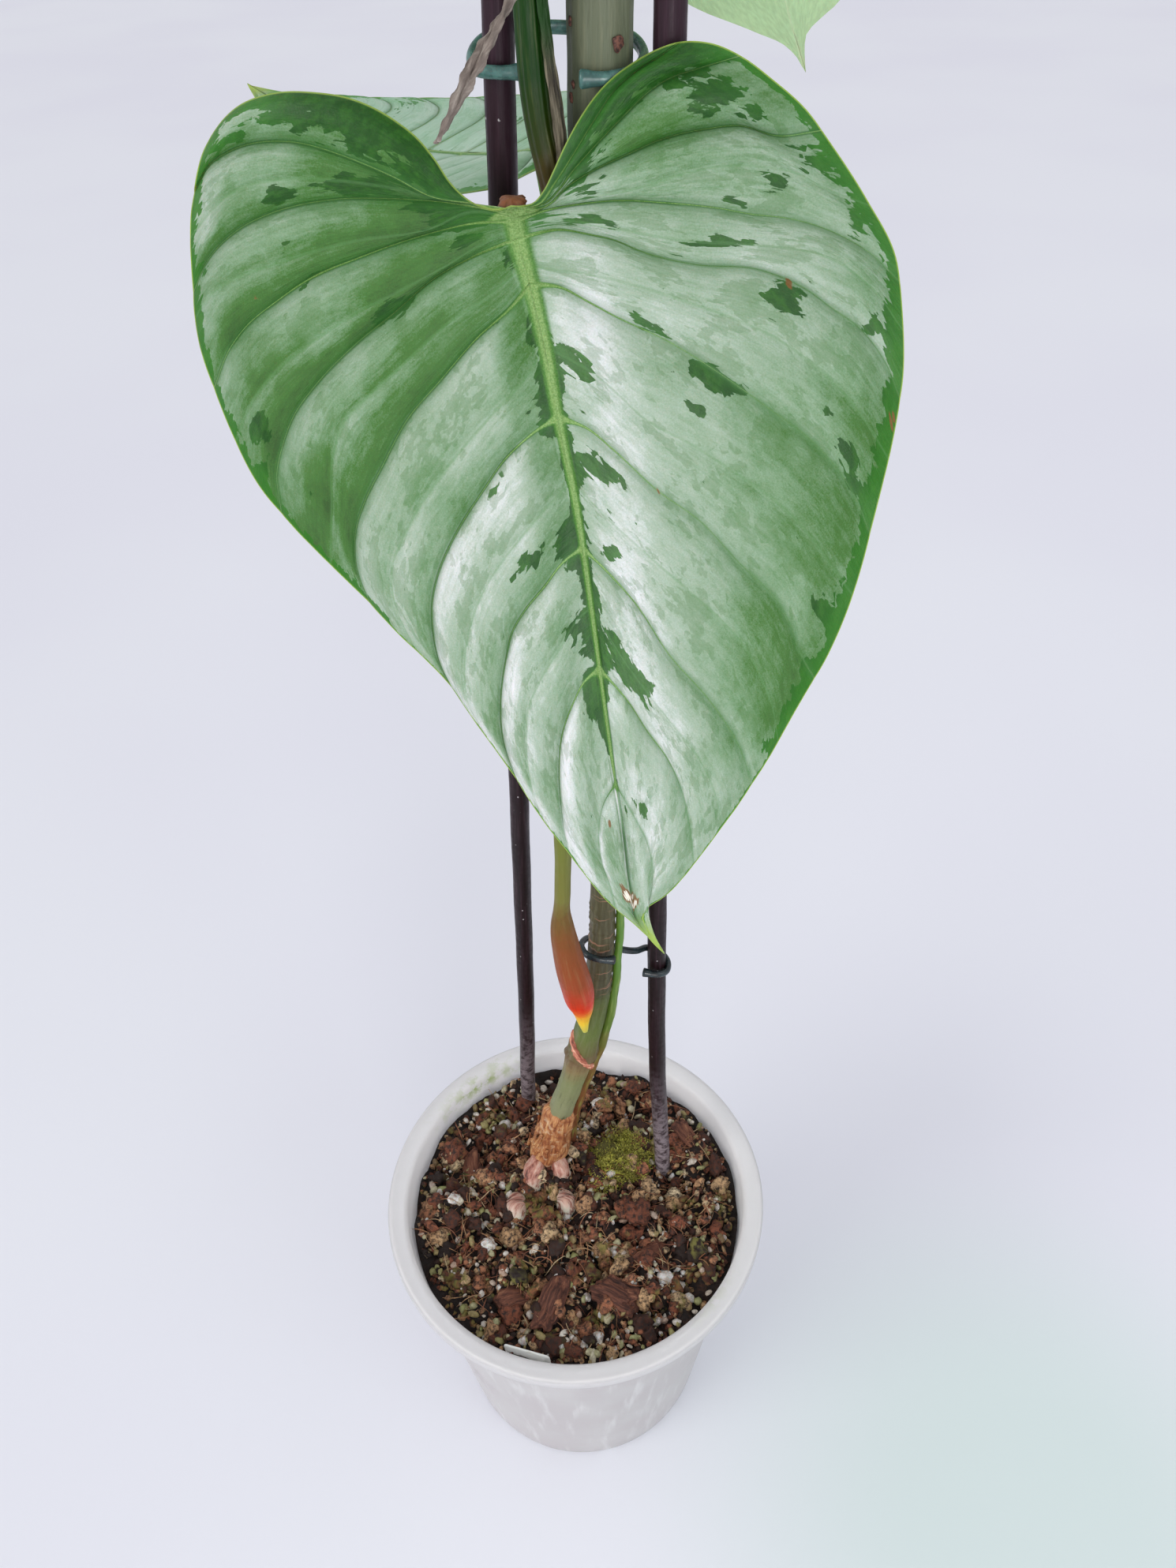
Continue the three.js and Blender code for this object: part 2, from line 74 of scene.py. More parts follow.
def paint(red, green, blue):
    """A colour given as screen values from 0 to 255, as the shader's linear numbers."""
    shares = np.array([red, green, blue]) / 255
    linear = np.where(shares <= 0.04045, shares / 12.92, ((shares + 0.055) / 1.055) ** 2.4)
    return tuple(float(share) for share in linear)


class Surface:
    """A material in the making. Each method adds a shader node or two and gives the result.
    Colours are screen values from 0 to 255."""

    def __init__(self, name):
        self.material = bpy.data.materials.new(name)
        self.material.use_nodes = True
        self.tree = self.material.node_tree
        self.shader = self.tree.nodes["Principled BSDF"]

    def feed(self, socket, value):
        """Links a result to the socket, or sets a number or colour on it."""
        if isinstance(value, bpy.types.NodeSocket):
            self.tree.links.new(value, socket)
        elif socket.type == "RGBA":
            socket.default_value = (*paint(*value), 1)
        else:
            socket.default_value = value

    def set(self, **values):
        """Feeds the shader's own sockets, named in lower case with underscores."""
        for key, value in values.items():
            label = key.replace("_", " ")
            socket = next(s for s in self.shader.inputs if s.name.lower() == label)
            self.feed(socket, value)

    def new(self, kind):
        """A new shader node."""
        return self.tree.nodes.new("ShaderNode" + kind)

    def fill(self, node, inputs):
        """Feeds a node's inputs by number or name, and gives its outputs."""
        for key, value in inputs.items():
            self.feed(node.inputs[key], value)
        return node.outputs

    def place(self):
        """The position on the object in metres."""
        return self.new("TexCoord").outputs["Object"]

    def attribute(self, name, output="Fac"):
        """A value stored on the mesh."""
        node = self.new("Attribute")
        node.attribute_name = name
        return node.outputs[output]

    def stretch(self, vector, scale):
        """A vector scaled by three numbers."""
        node = self.new("VectorMath")
        node.operation = "MULTIPLY"
        return self.fill(node, {0: vector, 1: scale})[0]

    def grain(self, scale):
        """The position round and along the piece that is stored on it, scaled."""
        return self.stretch(self.attribute("grain", "Vector"), tuple(np.zeros(3) + scale))

    def noise(self, vector, scale, detail=3, roughness=0.5):
        """Cloudy noise from 0 to 1."""
        inputs = {"Vector": vector, "Scale": scale, "Detail": detail, "Roughness": roughness}
        return self.fill(self.new("TexNoise"), inputs)[0]

    def clouds(self, scale, detail=3, roughness=0.5):
        """Cloudy noise in the object's own space."""
        return self.noise(self.place(), scale, detail, roughness)

    def streaks(self, scale, detail=3, roughness=0.5):
        """Cloudy noise that follows the grain."""
        return self.noise(self.grain(scale), 1, detail, roughness)

    def cells(self, vector, scale):
        """Distance to the nearest of scattered points."""
        return self.fill(self.new("TexVoronoi"), {"Vector": vector, "Scale": scale})["Distance"]

    def blocks(self, vector):
        """A random value from 0 to 1 for each of the small cells that the vector falls in."""
        cell = self.fill(self.new("TexVoronoi"), {"Vector": vector, "Scale": 1})
        return self.fill(self.new("SeparateColor"), {0: cell["Color"]})[0]

    def sum(self, operation, *values):
        """One arithmetic step."""
        node = self.new("Math")
        node.operation = operation
        return self.fill(node, dict(enumerate(values)))[0]

    def times(self, first, second):
        """The product of two values."""
        return self.sum("MULTIPLY", first, second)

    def sway(self, value, other, share, middle=0.5):
        """A value moved by a share of how far the other one lies from its middle."""
        return self.sum("MULTIPLY_ADD", self.sum("SUBTRACT", other, middle), share, value)

    def fade(self, value, low, high, start=0, end=1):
        """A smooth step from start to end while the value goes from low to high."""
        node = self.new("MapRange")
        node.interpolation_type = "SMOOTHSTEP"
        return self.fill(node, {0: value, 1: low, 2: high, 3: start, 4: end})[0]

    def bands(self, value, stops):
        """Colours along a value: stops are (value, colour) pairs in rising order."""
        low = stops[0][0]
        high = stops[-1][0]
        place = self.fill(self.new("MapRange"), {0: value, 1: low, 2: high})[0]
        ramp = self.new("ValToRGB")
        elements = ramp.color_ramp.elements
        while len(elements) < len(stops):
            elements.new(0.5)
        for element, (stop, colour) in zip(elements, stops):
            element.position = (stop - low) / (high - low)
            element.color = (*paint(*colour), 1)
        return self.fill(ramp, {0: place})[0]

    def mix(self, share, first, second):
        """The first colour where the share is 0, the second where it is 1."""
        node = self.new("Mix")
        node.data_type = "RGBA"
        return self.fill(node, {0: share, 6: first, 7: second})[2]

    def tint(self, first, second, value, low, high, start=0, end=1):
        """The first colour, with a share of the second that fades from start to end."""
        return self.mix(self.fade(value, low, high, start, end), first, second)

    def bump(self, height, depth_mm, under=None):
        """A bump whose height value of 1 stands that many millimetres out, on another bump."""
        inputs = {"Strength": 1, "Distance": depth_mm * MM, "Height": height}
        if under is not None:
            inputs["Normal"] = under
        return self.fill(self.new("Bump"), inputs)[0]


floor_look = Surface("pale_paper")
paper_cloud = floor_look.clouds(2.2, 2)
floor_colour = floor_look.tint(FLOOR_COLOUR, (241, 243, 250), paper_cloud, 0.35, 0.65)
# Painted shade: the paper turns a darker mint green near that place, fading out by 15 cm from it
from_painted_shade = floor_look.new("VectorMath")
from_painted_shade.operation = "DISTANCE"
painted_shade_distance = floor_look.fill(from_painted_shade, {0: floor_look.place(), 1: PAINTED_GREEN_SHADE_PLACE})["Value"]
floor_colour = floor_look.tint(floor_colour, (212, 230, 226), painted_shade_distance, 0.03, 0.15, 0.75, 0)
floor_look.set(
    base_color=floor_colour, roughness=0.75, normal=floor_look.bump(floor_look.clouds(900), 0.02))
floor_mesh = bpy.data.meshes.new("floor")
floor_corners = FLOOR_HALF_WIDTH * np.array([(-1, -1, 0), (1, -1, 0), (1, 1, 0), (-1, 1, 0)])
floor_mesh.from_pydata(floor_corners.tolist(), [], [(0, 1, 2, 3)])
floor_mesh.materials.append(floor_look.material)
floor = bpy.data.objects.new("floor", floor_mesh)
scene.collection.objects.link(floor)

world = bpy.data.worlds.new("room")
world.use_nodes = True
room = world.node_tree.nodes["Background"].inputs
room["Color"].default_value = (*paint(*ROOM_COLOUR), 1)
room["Strength"].default_value = 0.72
scene.world = world
scene.view_settings.view_transform = "Standard"


def shine(name, kind, energy, colour):
    """A new lamp."""
    data = bpy.data.lights.new(name, kind)
    data.energy = energy
    data.color = colour
    lamp = bpy.data.objects.new(name, data)
    scene.collection.objects.link(lamp)
    return lamp


def window(name, place, aim, width, height, power, colour, spread):
    """A soft area light at a place, turned to an aim, that shines out within that spread."""
    lamp = shine(name, "AREA", power, colour)
    lamp.data.shape = "RECTANGLE"
    lamp.data.size = width
    lamp.data.size_y = height
    lamp.data.spread = math.radians(spread)
    lamp.location = place
    lamp.rotation_euler = (Vector(aim) - Vector(place)).to_track_quat("-Z", "Y").to_euler()


window("opening_front", (0.16, -1.05, 0.39), (0.01, 0, 0.33), 0.34, 0.46, 1.3, (1, 0.99, 0.98), 100)
window("window_right", (1.5, -1.2, 1.3), (0.3, -0.1, 0), 1.2, 1.2, 4, (0.9, 1, 0.96), 170)
DAYLIGHT_WAY = Vector((-0.82, -0.46, 0.34)).normalized()
daylight = shine("daylight_left", "SUN", 1.15, (1, 0.985, 0.96))
daylight.data.angle = math.radians(38)
daylight.rotation_euler = DAYLIGHT_WAY.to_track_quat("Z", "Y").to_euler()

# Pot
# A thin nursery pot moulded in one piece from milky plastic. Its rim is flat with a short skirt,
# and the floor has a ring of drain holes with a notch in the foot beside each.
POT_HEIGHT = 105
POT_RIM_RADIUS = 60
POT_MOUTH_RADIUS = 53.9
POT_BASE_RADIUS = 42.5
POT_WALL = 1.2
POT_FLOOR = 1.6
POT_SIDES = 176
POT_INNER_FOOT = POT_BASE_RADIUS - POT_WALL
DRAIN_HOLES = 8
DRAIN_HOLE_RADIUS = 3.5
DRAIN_CIRCLE = 29
FOOT_NOTCH_WIDTH = 13
FOOT_NOTCH_HEIGHT = 1.1


def store(mesh, key, values):
    """Stores a number or a vector for each corner of a mesh."""
    values = np.asarray(values, dtype=float)
    if values.ndim == 2:
        mesh.attributes.new(key, "FLOAT_VECTOR", "POINT").data.foreach_set("vector", values.ravel())
    else:
        mesh.attributes.new(key, "FLOAT", "POINT").data.foreach_set("value", values)


def add_mesh(name, corners, faces, surface, smooth_below=50, **attributes):
    """A mesh object from corners in mm, with values stored on its corners."""
    mesh = bpy.data.meshes.new(name)
    mesh.from_pydata((np.asarray(corners) * MM).tolist(), [], [tuple(face) for face in faces])
    for key, values in attributes.items():
        store(mesh, key, values)
    mesh.materials.append(surface.material)
    mesh.shade_smooth()
    mesh.set_sharp_from_angle(angle=math.radians(smooth_below))
    piece = bpy.data.objects.new(name, mesh)
    scene.collection.objects.link(piece)
    return piece


def closed_tube(rings, start, end):
    """Corners and faces of a body from rings of corners, closed by a point at either end."""
    count, sides, _ = rings.shape
    corners = np.vstack([[start], rings.reshape(-1, 3), [end]])
    top = 1 + (count - 1) * sides
    faces = []
    for side in range(sides):
        ahead = (side + 1) % sides
        faces.append((0, 1 + ahead, 1 + side))
        for low in range(1, top, sides):
            faces.append((low + side, low + ahead, low + sides + ahead, low + sides + side))
        faces.append((top + side, top + ahead, len(corners) - 1))
    return corners, faces


def turned(profile, sides):
    """Corners and faces of a body turned about the Z axis. The profile starts and ends on it."""
    angles = np.arange(sides) * 2 * math.pi / sides
    circle = np.stack([np.cos(angles), np.sin(angles), 0 * angles], 1)
    rings = np.array([radius * circle + [0, 0, height] for radius, height in profile[1:-1]])
    return closed_tube(rings, (0, 0, profile[0][1]), (0, 0, profile[-1][1]))


def lumps(points, size, seed):
    """Smooth random values from -1 to 1 at points in mm, in lumps of about that size."""
    spots = np.asarray(points, dtype=float) / size
    cell = np.floor(spots).astype(np.int64)
    part = spots - cell
    part = part * part * (3 - 2 * part)
    total = np.zeros(len(spots))
    for corner in np.ndindex(2, 2, 2):
        key = cell + np.array(corner)
        mixed = key[:, 0] * 73856093 ^ key[:, 1] * 19349663 ^ key[:, 2] * 83492791 ^ seed * 49979687
        mixed = (mixed ^ (mixed >> 13)) * 1274126177
        value = ((mixed ^ (mixed >> 16)) & 65535) / 65535
        weight = np.prod(np.where(np.array(corner) == 1, part, 1 - part), axis=1)
        total += value * weight
    return 2 * total - 1


# Profile of the moulding up the outside, over the rim and down the inside. Each run has a radius
# and a height, and then how far out of them and above them its points lie.
POT_RUNS = [
    (POT_BASE_RADIUS, 0, [(-1.8, 0), (-1.1, 0.15), (-0.35, 0.8), (0, 1.8), (0.9, 9), (4.2, 38), (8.4, 72)]),
    (POT_MOUTH_RADIUS + POT_WALL, POT_HEIGHT, [(-0.9, -9), (-0.4, -4.6), (0, -2.2), (0.5, -1.7)]),
    (POT_RIM_RADIUS, POT_HEIGHT, [
        (-1.5, -1.6), (-1.1, -1.9), (-1, -3.2), (-0.7, -3.4), (-0.25, -3.3), (-0.1, -3), (0, -0.9),
        (-0.2, -0.3), (-0.8, 0), (-1.5, -0.05), (-2, -0.4)]),
    (POT_MOUTH_RADIUS, POT_HEIGHT, [(1.3, -0.4), (0.5, -0.6), (0, -1.2), (-0.15, -3), (-0.6, -7)]),
    (POT_BASE_RADIUS, 0, [(7.2, 72), (3, 38)]),
    (POT_INNER_FOOT, 0, [(0.5, 9)]),
    (POT_INNER_FOOT, POT_FLOOR, [(0, 1.6), (-0.4, 0.5), (-1.4, 0)])]
pot_profile = [(0, 0), (30, 0)]
for radius, height, run in POT_RUNS:
    pot_profile += [(radius + out, height + up) for out, up in run]
pot_profile += [(30, POT_FLOOR), (0, POT_FLOOR)]

pot_look = Surface("milky_pot_plastic")
pot_place = pot_look.place()
pot_cloud = pot_look.noise(pot_place, 55, 4, 0.6)
pot_streaks = pot_look.noise(pot_look.stretch(pot_place, (210, 210, 22)), 1, 4, 0.55)
pot_height = pot_look.attribute("rise")
# Painted shade: the wall is painted greyer than the rim and the top of the inside wall, fading into them
# between 88 and 98 mm up. The pale vertical streaks are partly white stains and partly painted highlight.
pot_colour = pot_look.tint((184, 179, 181), (194, 192, 193), pot_cloud, 0.35, 0.7)
pot_colour = pot_look.tint(pot_colour, (230, 232, 232), pot_streaks, 0.5, 0.8, 0, 0.5)
pot_colour = pot_look.tint(pot_colour, (254, 252, 251), pot_height, 88, 98, 0, 0.95)
# Painted shade: the outer face of the rim's skirt is painted greyer than the rim's top
pot_colour = pot_look.mix(pot_look.attribute("skirt"), pot_colour, (206, 205, 207))
algae_clump = pot_look.noise(pot_place, 260, 5, 0.65)
algae_share = pot_look.times(pot_look.attribute("algae"), pot_look.fade(algae_clump, 0.42, 0.6))
pot_colour = pot_look.mix(algae_share, pot_colour, (150, 176, 70))
pot_look.set(
    base_color=pot_colour, roughness=pot_look.fade(pot_cloud, 0.3, 0.7, 0.3, 0.48),
    transmission_weight=pot_look.fade(pot_height, 90, 98, 0.1, 0.3), ior=1.2, subsurface_weight=0.7,
    subsurface_radius=(1, 1, 1), subsurface_scale=0.006,
    normal=pot_look.bump(pot_look.noise(pot_place, 1600), 0.012, pot_look.bump(pot_streaks, 0.12)))

pot_corners, pot_faces = turned(pot_profile, POT_SIDES)
pot = add_mesh("pot_moulding", pot_corners, pot_faces, pot_look, 38)


def cut_away(piece, cutters):
    """Takes closed bodies, each given as corners and faces in mm, out of a piece."""
    corners = []
    faces = []
    for body_corners, body_faces in cutters:
        faces += [tuple(index + len(corners) for index in face) for face in body_faces]
        corners += [tuple(value * MM for value in corner) for corner in body_corners]
    mesh = bpy.data.meshes.new("cutter")
    mesh.from_pydata(corners, [], faces)
    cutter = bpy.data.objects.new("cutter", mesh)
    scene.collection.objects.link(cutter)
    modifier = piece.modifiers.new("cut", "BOOLEAN")
    modifier.operation = "DIFFERENCE"
    modifier.solver = "EXACT"
    modifier.object = cutter
    result = bpy.data.meshes.new_from_object(piece.evaluated_get(bpy.context.evaluated_depsgraph_get()))
    piece.modifiers.clear()
    piece.data = result
    bpy.data.objects.remove(cutter)


def turn_by(angle, axis):
    """The matrix of a turn about an axis."""
    return np.array(Matrix.Rotation(angle, 3, axis))


DRAIN_PROFILE = [(0, -2), (DRAIN_HOLE_RADIUS, -2), (DRAIN_HOLE_RADIUS, POT_FLOOR + 2), (0, POT_FLOOR + 2)]
NOTCH_FACES = [(3, 2, 1, 0), (4, 5, 6, 7), (0, 1, 5, 4), (1, 2, 6, 5), (2, 3, 7, 6), (3, 0, 4, 7)]
pot_cutters = []
for hole in range(DRAIN_HOLES):
    turn = turn_by((hole + 0.5) * 2 * math.pi / DRAIN_HOLES, "Z")
    drain_corners, drain_faces = turned(DRAIN_PROFILE, 28)
    pot_cutters.append((drain_corners + turn @ (DRAIN_CIRCLE, 0, 0), drain_faces))
    notch_corners = []
    for height, width in ((-1, FOOT_NOTCH_WIDTH), (FOOT_NOTCH_HEIGHT, FOOT_NOTCH_WIDTH - 1.5)):
        for across, out in ((-1, -4), (1, -4), (1, 4), (-1, 4)):
            notch_corners.append(turn @ (POT_BASE_RADIUS + out, across * width / 2, height))
    pot_cutters.append((notch_corners, NOTCH_FACES))
cut_away(pot, pot_cutters)

# Green algae line where water stands, at the back left of the rim and as flecks at the front right
pot_points = np.array([tuple(vertex.co) for vertex in pot.data.vertices]) / MM
pot_angles = np.degrees(np.arctan2(pot_points[:, 1], pot_points[:, 0])) % 360
pot_radii = np.hypot(pot_points[:, 0], pot_points[:, 1])
near_rim = np.clip(1 - np.abs(pot_points[:, 2] - (POT_HEIGHT - 3)) / 5, 0, 1)
near_rim *= pot_radii < POT_RIM_RADIUS - 2
back_left = np.clip(1 - np.abs(pot_angles - 128) / 26, 0, 1)
front_right = np.clip(1 - np.abs(pot_angles - 318) / 16, 0, 1)
store(pot.data, "algae", near_rim * (back_left + 0.5 * front_right))
store(pot.data, "rise", pot_points[:, 2])
# The outer face of the rim's skirt, where the painted shade goes
store(pot.data, "skirt", (pot_radii > POT_RIM_RADIUS - 0.9) & (pot_points[:, 2] < POT_HEIGHT - 0.2))
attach(pot, "root")
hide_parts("pot")

# Potting mix
# Loose peat, coir fibre and fine bark, filled to a lumpy top a finger's width under the rim, with
# thousands of crumbs, fibres and pale grains lying open on it.
MIX_LEVEL = 95
MIX_CROWN = 1.6
MIX_ROUGHNESS = 1.3
MIX_SIDES = 230
MIX_RINGS = 72
MIX_GAP = 0.35
CRUMB_COUNT = 3200
CLOD_COUNT = 330
FIBRE_COUNT = 700
GRAIN_COUNT = 900
random_mix = np.random.default_rng(41)
# Hollows beside the right stake, behind the stem and at the front left, as (x, y, width, depth)
MIX_HOLLOWS = [
    (31, 9, 5, 6), (6, 29, 6, 5), (14, 31, 5, 5), (-3, -3, 4, 3), (-12, -16, 5, 2.5), (4, -38, 5, 3),
    (-34, 22, 6, 3)]


def mix_height(across, deep):
    """Height of the mix's top in mm at a place on it."""
    across = np.asarray(across, dtype=float)
    deep = np.asarray(deep, dtype=float)
    spread = np.hypot(across, deep) / POT_MOUTH_RADIUS
    waves = np.sin(across * 0.31 + 1.3) * np.cos(deep * 0.27 + 0.4) + 0.7 * np.sin(
        across * 0.13 - deep * 0.19)
    height = MIX_LEVEL + MIX_CROWN * (1 - spread ** 2) + MIX_ROUGHNESS * waves
    flat = np.stack([across.ravel(), deep.ravel(), 0 * deep.ravel()], 1)
    height = height + (2.0 * lumps(flat, 8, 2) + 1.3 * lumps(flat, 4, 7)).reshape(height.shape)
    for hollow_x, hollow_y, width, depth in MIX_HOLLOWS:
        height = height - depth * np.exp(-((across - hollow_x) ** 2 + (deep - hollow_y) ** 2) / width ** 2)
    return height


mix_rim = POT_MOUTH_RADIUS - 1.1 - MIX_GAP
mix_profile = [
    (0, POT_FLOOR + 0.3), (POT_INNER_FOOT - 1.7, POT_FLOOR + 0.3),
    (POT_INNER_FOOT - MIX_GAP, POT_FLOOR + 1.9), (POT_INNER_FOOT + 0.5 - MIX_GAP, 9),
    (POT_BASE_RADIUS + 3 - MIX_GAP, 38), (POT_BASE_RADIUS + 7.2 - MIX_GAP, 72)]
mix_profile += [(mix_rim * ring / MIX_RINGS, MIX_LEVEL) for ring in range(MIX_RINGS, -1, -1)]
mix_corners, mix_faces = turned(mix_profile, MIX_SIDES)
mix_top = mix_corners[mix_corners[:, 2] == MIX_LEVEL]
mix_top[:, 2] = mix_height(mix_top[:, 0], mix_top[:, 1])
mix_top[:, 2] += 1.1 * lumps(mix_top, 5.5, 3) + 0.6 * lumps(mix_top, 2.3, 4) + 0.3 * lumps(mix_top, 1.1, 5)
mix_corners[mix_corners[:, 2] == MIX_LEVEL] = mix_top

mix_look = Surface("peat_and_coir")
mix_place = mix_look.place()
mix_cloud = mix_look.noise(mix_place, 190, 5, 0.65)
mix_fine = mix_look.noise(mix_place, 900, 4, 0.7)
mix_colour = mix_look.bands(
    mix_cloud, [(0.3, (12, 7, 5)), (0.52, (36, 21, 15)), (0.66, (80, 50, 35)), (0.8, (110, 78, 54))])
mix_colour = mix_look.tint((24, 15, 12), mix_colour, mix_fine, 0.35, 0.75)
mix_look.set(
    base_color=mix_colour, roughness=mix_look.fade(mix_cloud, 0.3, 0.7, 0.75, 0.95),
    normal=mix_look.bump(mix_fine, 0.5, mix_look.bump(mix_cloud, 0.8)))
mix_body = add_mesh("potting_mix_body", mix_corners, mix_faces, mix_look, 60)
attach(mix_body, "root")
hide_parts("potting_mix")


def ball(subdivisions):
    """Corners and faces of a round body of radius 1 in near equal triangles."""
    maker = bmesh.new()
    bmesh.ops.create_icosphere(maker, subdivisions=subdivisions, radius=1)
    corners = np.array([tuple(vertex.co) for vertex in maker.verts])
    faces = np.array([[vertex.index for vertex in face.verts] for face in maker.faces])
    maker.free()
    return corners, faces


def random_turns(count):
    """Rotation matrices that turn any way."""
    quarters = random_mix.normal(size=(count, 4))
    quarters /= np.linalg.norm(quarters, axis=1)[:, None]
    w, x, y, z = quarters.T
    return np.stack([
        np.stack([1 - 2 * (y * y + z * z), 2 * (x * y - z * w), 2 * (x * z + y * w)], 1),
        np.stack([2 * (x * y + z * w), 1 - 2 * (x * x + z * z), 2 * (y * z - x * w)], 1),
        np.stack([2 * (x * z - y * w), 2 * (y * z + x * w), 1 - 2 * (x * x + y * y)], 1)], 1)


def scatter(facets, places, sizes, turns, lump_size, ruggedness):
    """Corners and faces of many small bodies joined in one mesh, and how many corners each has.
    Each body has its own lumps."""
    corners, faces = ball(facets)
    count = len(places)
    own = corners[None, :, :] * sizes[:, None, :]
    spots = (own + 9.7 * places[:, None, :]).reshape(-1, 3)
    swell = lumps(spots, lump_size, 81) + 0.45 * lumps(spots, 0.4 * lump_size, 82)
    own = own * (1 + ruggedness * swell.reshape(count, len(corners), 1))
    own = np.einsum("nij,nkj->nki", turns, own) + places[:, None, :]
    all_faces = faces[None, :, :] + (np.arange(count) * len(corners))[:, None, None]
    return own.reshape(-1, 3), all_faces.reshape(-1, 3), len(corners)


def spread_places(count, reach, lift=None):
    """Random places on the mix's top within that distance of its middle, raised at random."""
    radii = reach * np.sqrt(random_mix.random(count))
    angles = random_mix.random(count) * 2 * math.pi
    across = radii * np.cos(angles)
    deep = radii * np.sin(angles)
    places = np.stack([across, deep, mix_height(across, deep)], 1)
    if lift is not None:
        places[:, 2] += random_mix.uniform(*lift, count)
    return places


def loose(name, surface, places, sizes, shares, facets, lump_size, ruggedness, skew=1, long=1, tone_skew=1,
          smooth_below=70):
    """Many small bodies of the mix as one piece. sizes is the range of their half-sizes and shares
    that of their three sides' shares of it."""
    count = len(places)
    halves = random_mix.uniform(*sizes, (count, 1)) ** skew * random_mix.uniform(*shares, (count, 3))
    halves[:, 0] *= long
    turns = random_turns(count)
    tones = random_mix.random(count) ** tone_skew
    corners, faces, each = scatter(facets, places, halves, turns, lump_size, ruggedness)
    return add_mesh(name, corners, faces, surface, smooth_below, tone=np.repeat(tones, each))


crumb_look = Surface("peat_crumbs")
crumb_place = crumb_look.place()
crumb_grain = crumb_look.noise(crumb_place, 800, 4, 0.7)
crumb_colour = crumb_look.bands(crumb_look.attribute("tone"), [
    (0, (30, 18, 13)), (0.25, (92, 50, 34)), (0.5, (142, 82, 58)), (0.7, (172, 118, 86)),
    (0.85, (198, 160, 118)), (1, (222, 202, 166))])
crumb_colour = crumb_look.tint((34, 21, 16), crumb_colour, crumb_grain, 0.34, 0.62)
crumb_moss = crumb_look.times(
    crumb_look.fade(crumb_look.noise(crumb_place, 75), 0.52, 0.64, 0, 0.75),
    crumb_look.fade(crumb_look.noise(crumb_place, 420), 0.4, 0.6))
crumb_colour = crumb_look.mix(crumb_moss, crumb_colour, (124, 120, 58))
crumb_look.set(
    base_color=crumb_colour, roughness=crumb_look.fade(crumb_grain, 0.3, 0.7, 0.7, 0.95),
    normal=crumb_look.bump(crumb_grain, 0.35))
crumbs = loose(
    "mix_crumbs", crumb_look, spread_places(CRUMB_COUNT, 51, (-0.3, 1.5)), (0.4, 1.2), (0.6, 1.5), 1, 0.9,
    0.5)
clods = loose(
    "mix_clods", crumb_look, spread_places(CLOD_COUNT, 49, (-0.8, 2.2)), (1.3, 4), (0.5, 1.1), 3, 1.6,
    0.5)
for crumb_mesh in (crumbs, clods):
    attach(crumb_mesh, "root")

# Coir fibres: thin bent hairs with three sides
fibre_steps = 7
fibre_start = spread_places(FIBRE_COUNT, 46)
fibre_heading = random_mix.uniform(0, 2 * math.pi, (FIBRE_COUNT, 1))
fibre_bend = random_mix.normal(0, 0.9, (FIBRE_COUNT, 1))
fibre_length = random_mix.uniform(3, 11, (FIBRE_COUNT, 1))
fibre_radius = random_mix.uniform(0.07, 0.2, (FIBRE_COUNT, 1))
fibre_lift = random_mix.uniform(0, 1.3, (FIBRE_COUNT, 1))
shares = np.linspace(0, 1, fibre_steps)
headings = fibre_heading + fibre_bend * shares
across = fibre_start[:, :1] + np.cumsum(np.cos(headings), 1) * fibre_length / fibre_steps
deep = fibre_start[:, 1:2] + np.cumsum(np.sin(headings), 1) * fibre_length / fibre_steps
height = mix_height(across, deep) + 1 + 0.9 * np.sin(shares * math.pi) + fibre_lift
width = fibre_radius * (1 - 0.6 * (2 * shares - 1) ** 2)
fibre_skin = []
for angle in np.arange(3) * 2 * math.pi / 3:
    aside = math.cos(angle) * width
    up = math.sin(angle) * width
    fibre_skin.append(np.stack([
        across - aside * np.sin(headings), deep + aside * np.cos(headings), height + up], 2))
fibre_corners = np.stack(fibre_skin, 2).reshape(-1, 3)
fibre_faces = []
for base in range(0, len(fibre_corners), 3 * fibre_steps):
    end = base + 3 * (fibre_steps - 1)
    for low in range(base, end, 3):
        for side in range(3):
            ahead = (side + 1) % 3
            fibre_faces.append((low + side, low + 3 + side, low + 3 + ahead, low + ahead))
    fibre_faces += [(base, base + 1, base + 2), (end + 2, end + 1, end)]
fibre_tones = np.repeat(np.arange(FIBRE_COUNT) / FIBRE_COUNT, 3 * fibre_steps)
fibre_look = Surface("coir_fibre")
fibre_noise = fibre_look.clouds(500)
fibre_colour = fibre_look.bands(fibre_look.attribute("tone"), [
    (0, (110, 62, 42)), (0.4, (156, 98, 66)), (0.75, (182, 138, 96)), (1, (206, 186, 146))])
fibre_look.set(
    base_color=fibre_look.tint(fibre_colour, (70, 44, 32), fibre_noise, 0.3, 0.7, 0, 0.5), roughness=0.7,
    normal=fibre_look.bump(fibre_noise, 0.05))
fibre_mesh = add_mesh("mix_fibres", fibre_corners, fibre_faces, fibre_look, 80, tone=fibre_tones)
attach(fibre_mesh, "root")

# Pale grains: small seeds, shell and stone, greenish, tan and white
grain_look = Surface("pale_grain")
grain_noise = grain_look.clouds(1100)
grain_colour = grain_look.bands(grain_look.attribute("tone"), [
    (0, (134, 110, 76)), (0.25, (172, 158, 104)), (0.45, (158, 164, 104)), (0.6, (206, 200, 164)),
    (0.8, (236, 230, 222)), (0.92, (214, 204, 190)), (1, (190, 150, 126))])
grain_look.set(
    base_color=grain_look.tint(grain_colour, (84, 62, 44), grain_noise, 0.35, 0.75, 0.45, 0),
    roughness=0.6, normal=grain_look.bump(grain_noise, 0.1))
grain_mesh = loose(
    "mix_grains", grain_look, spread_places(GRAIN_COUNT, 51, (0.5, 1.9)), (0.4, 1.2), (0.6, 1.2), 2, 0.8,
    0.3, skew=1.3, long=1.6, smooth_below=80)
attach(grain_mesh, "root")

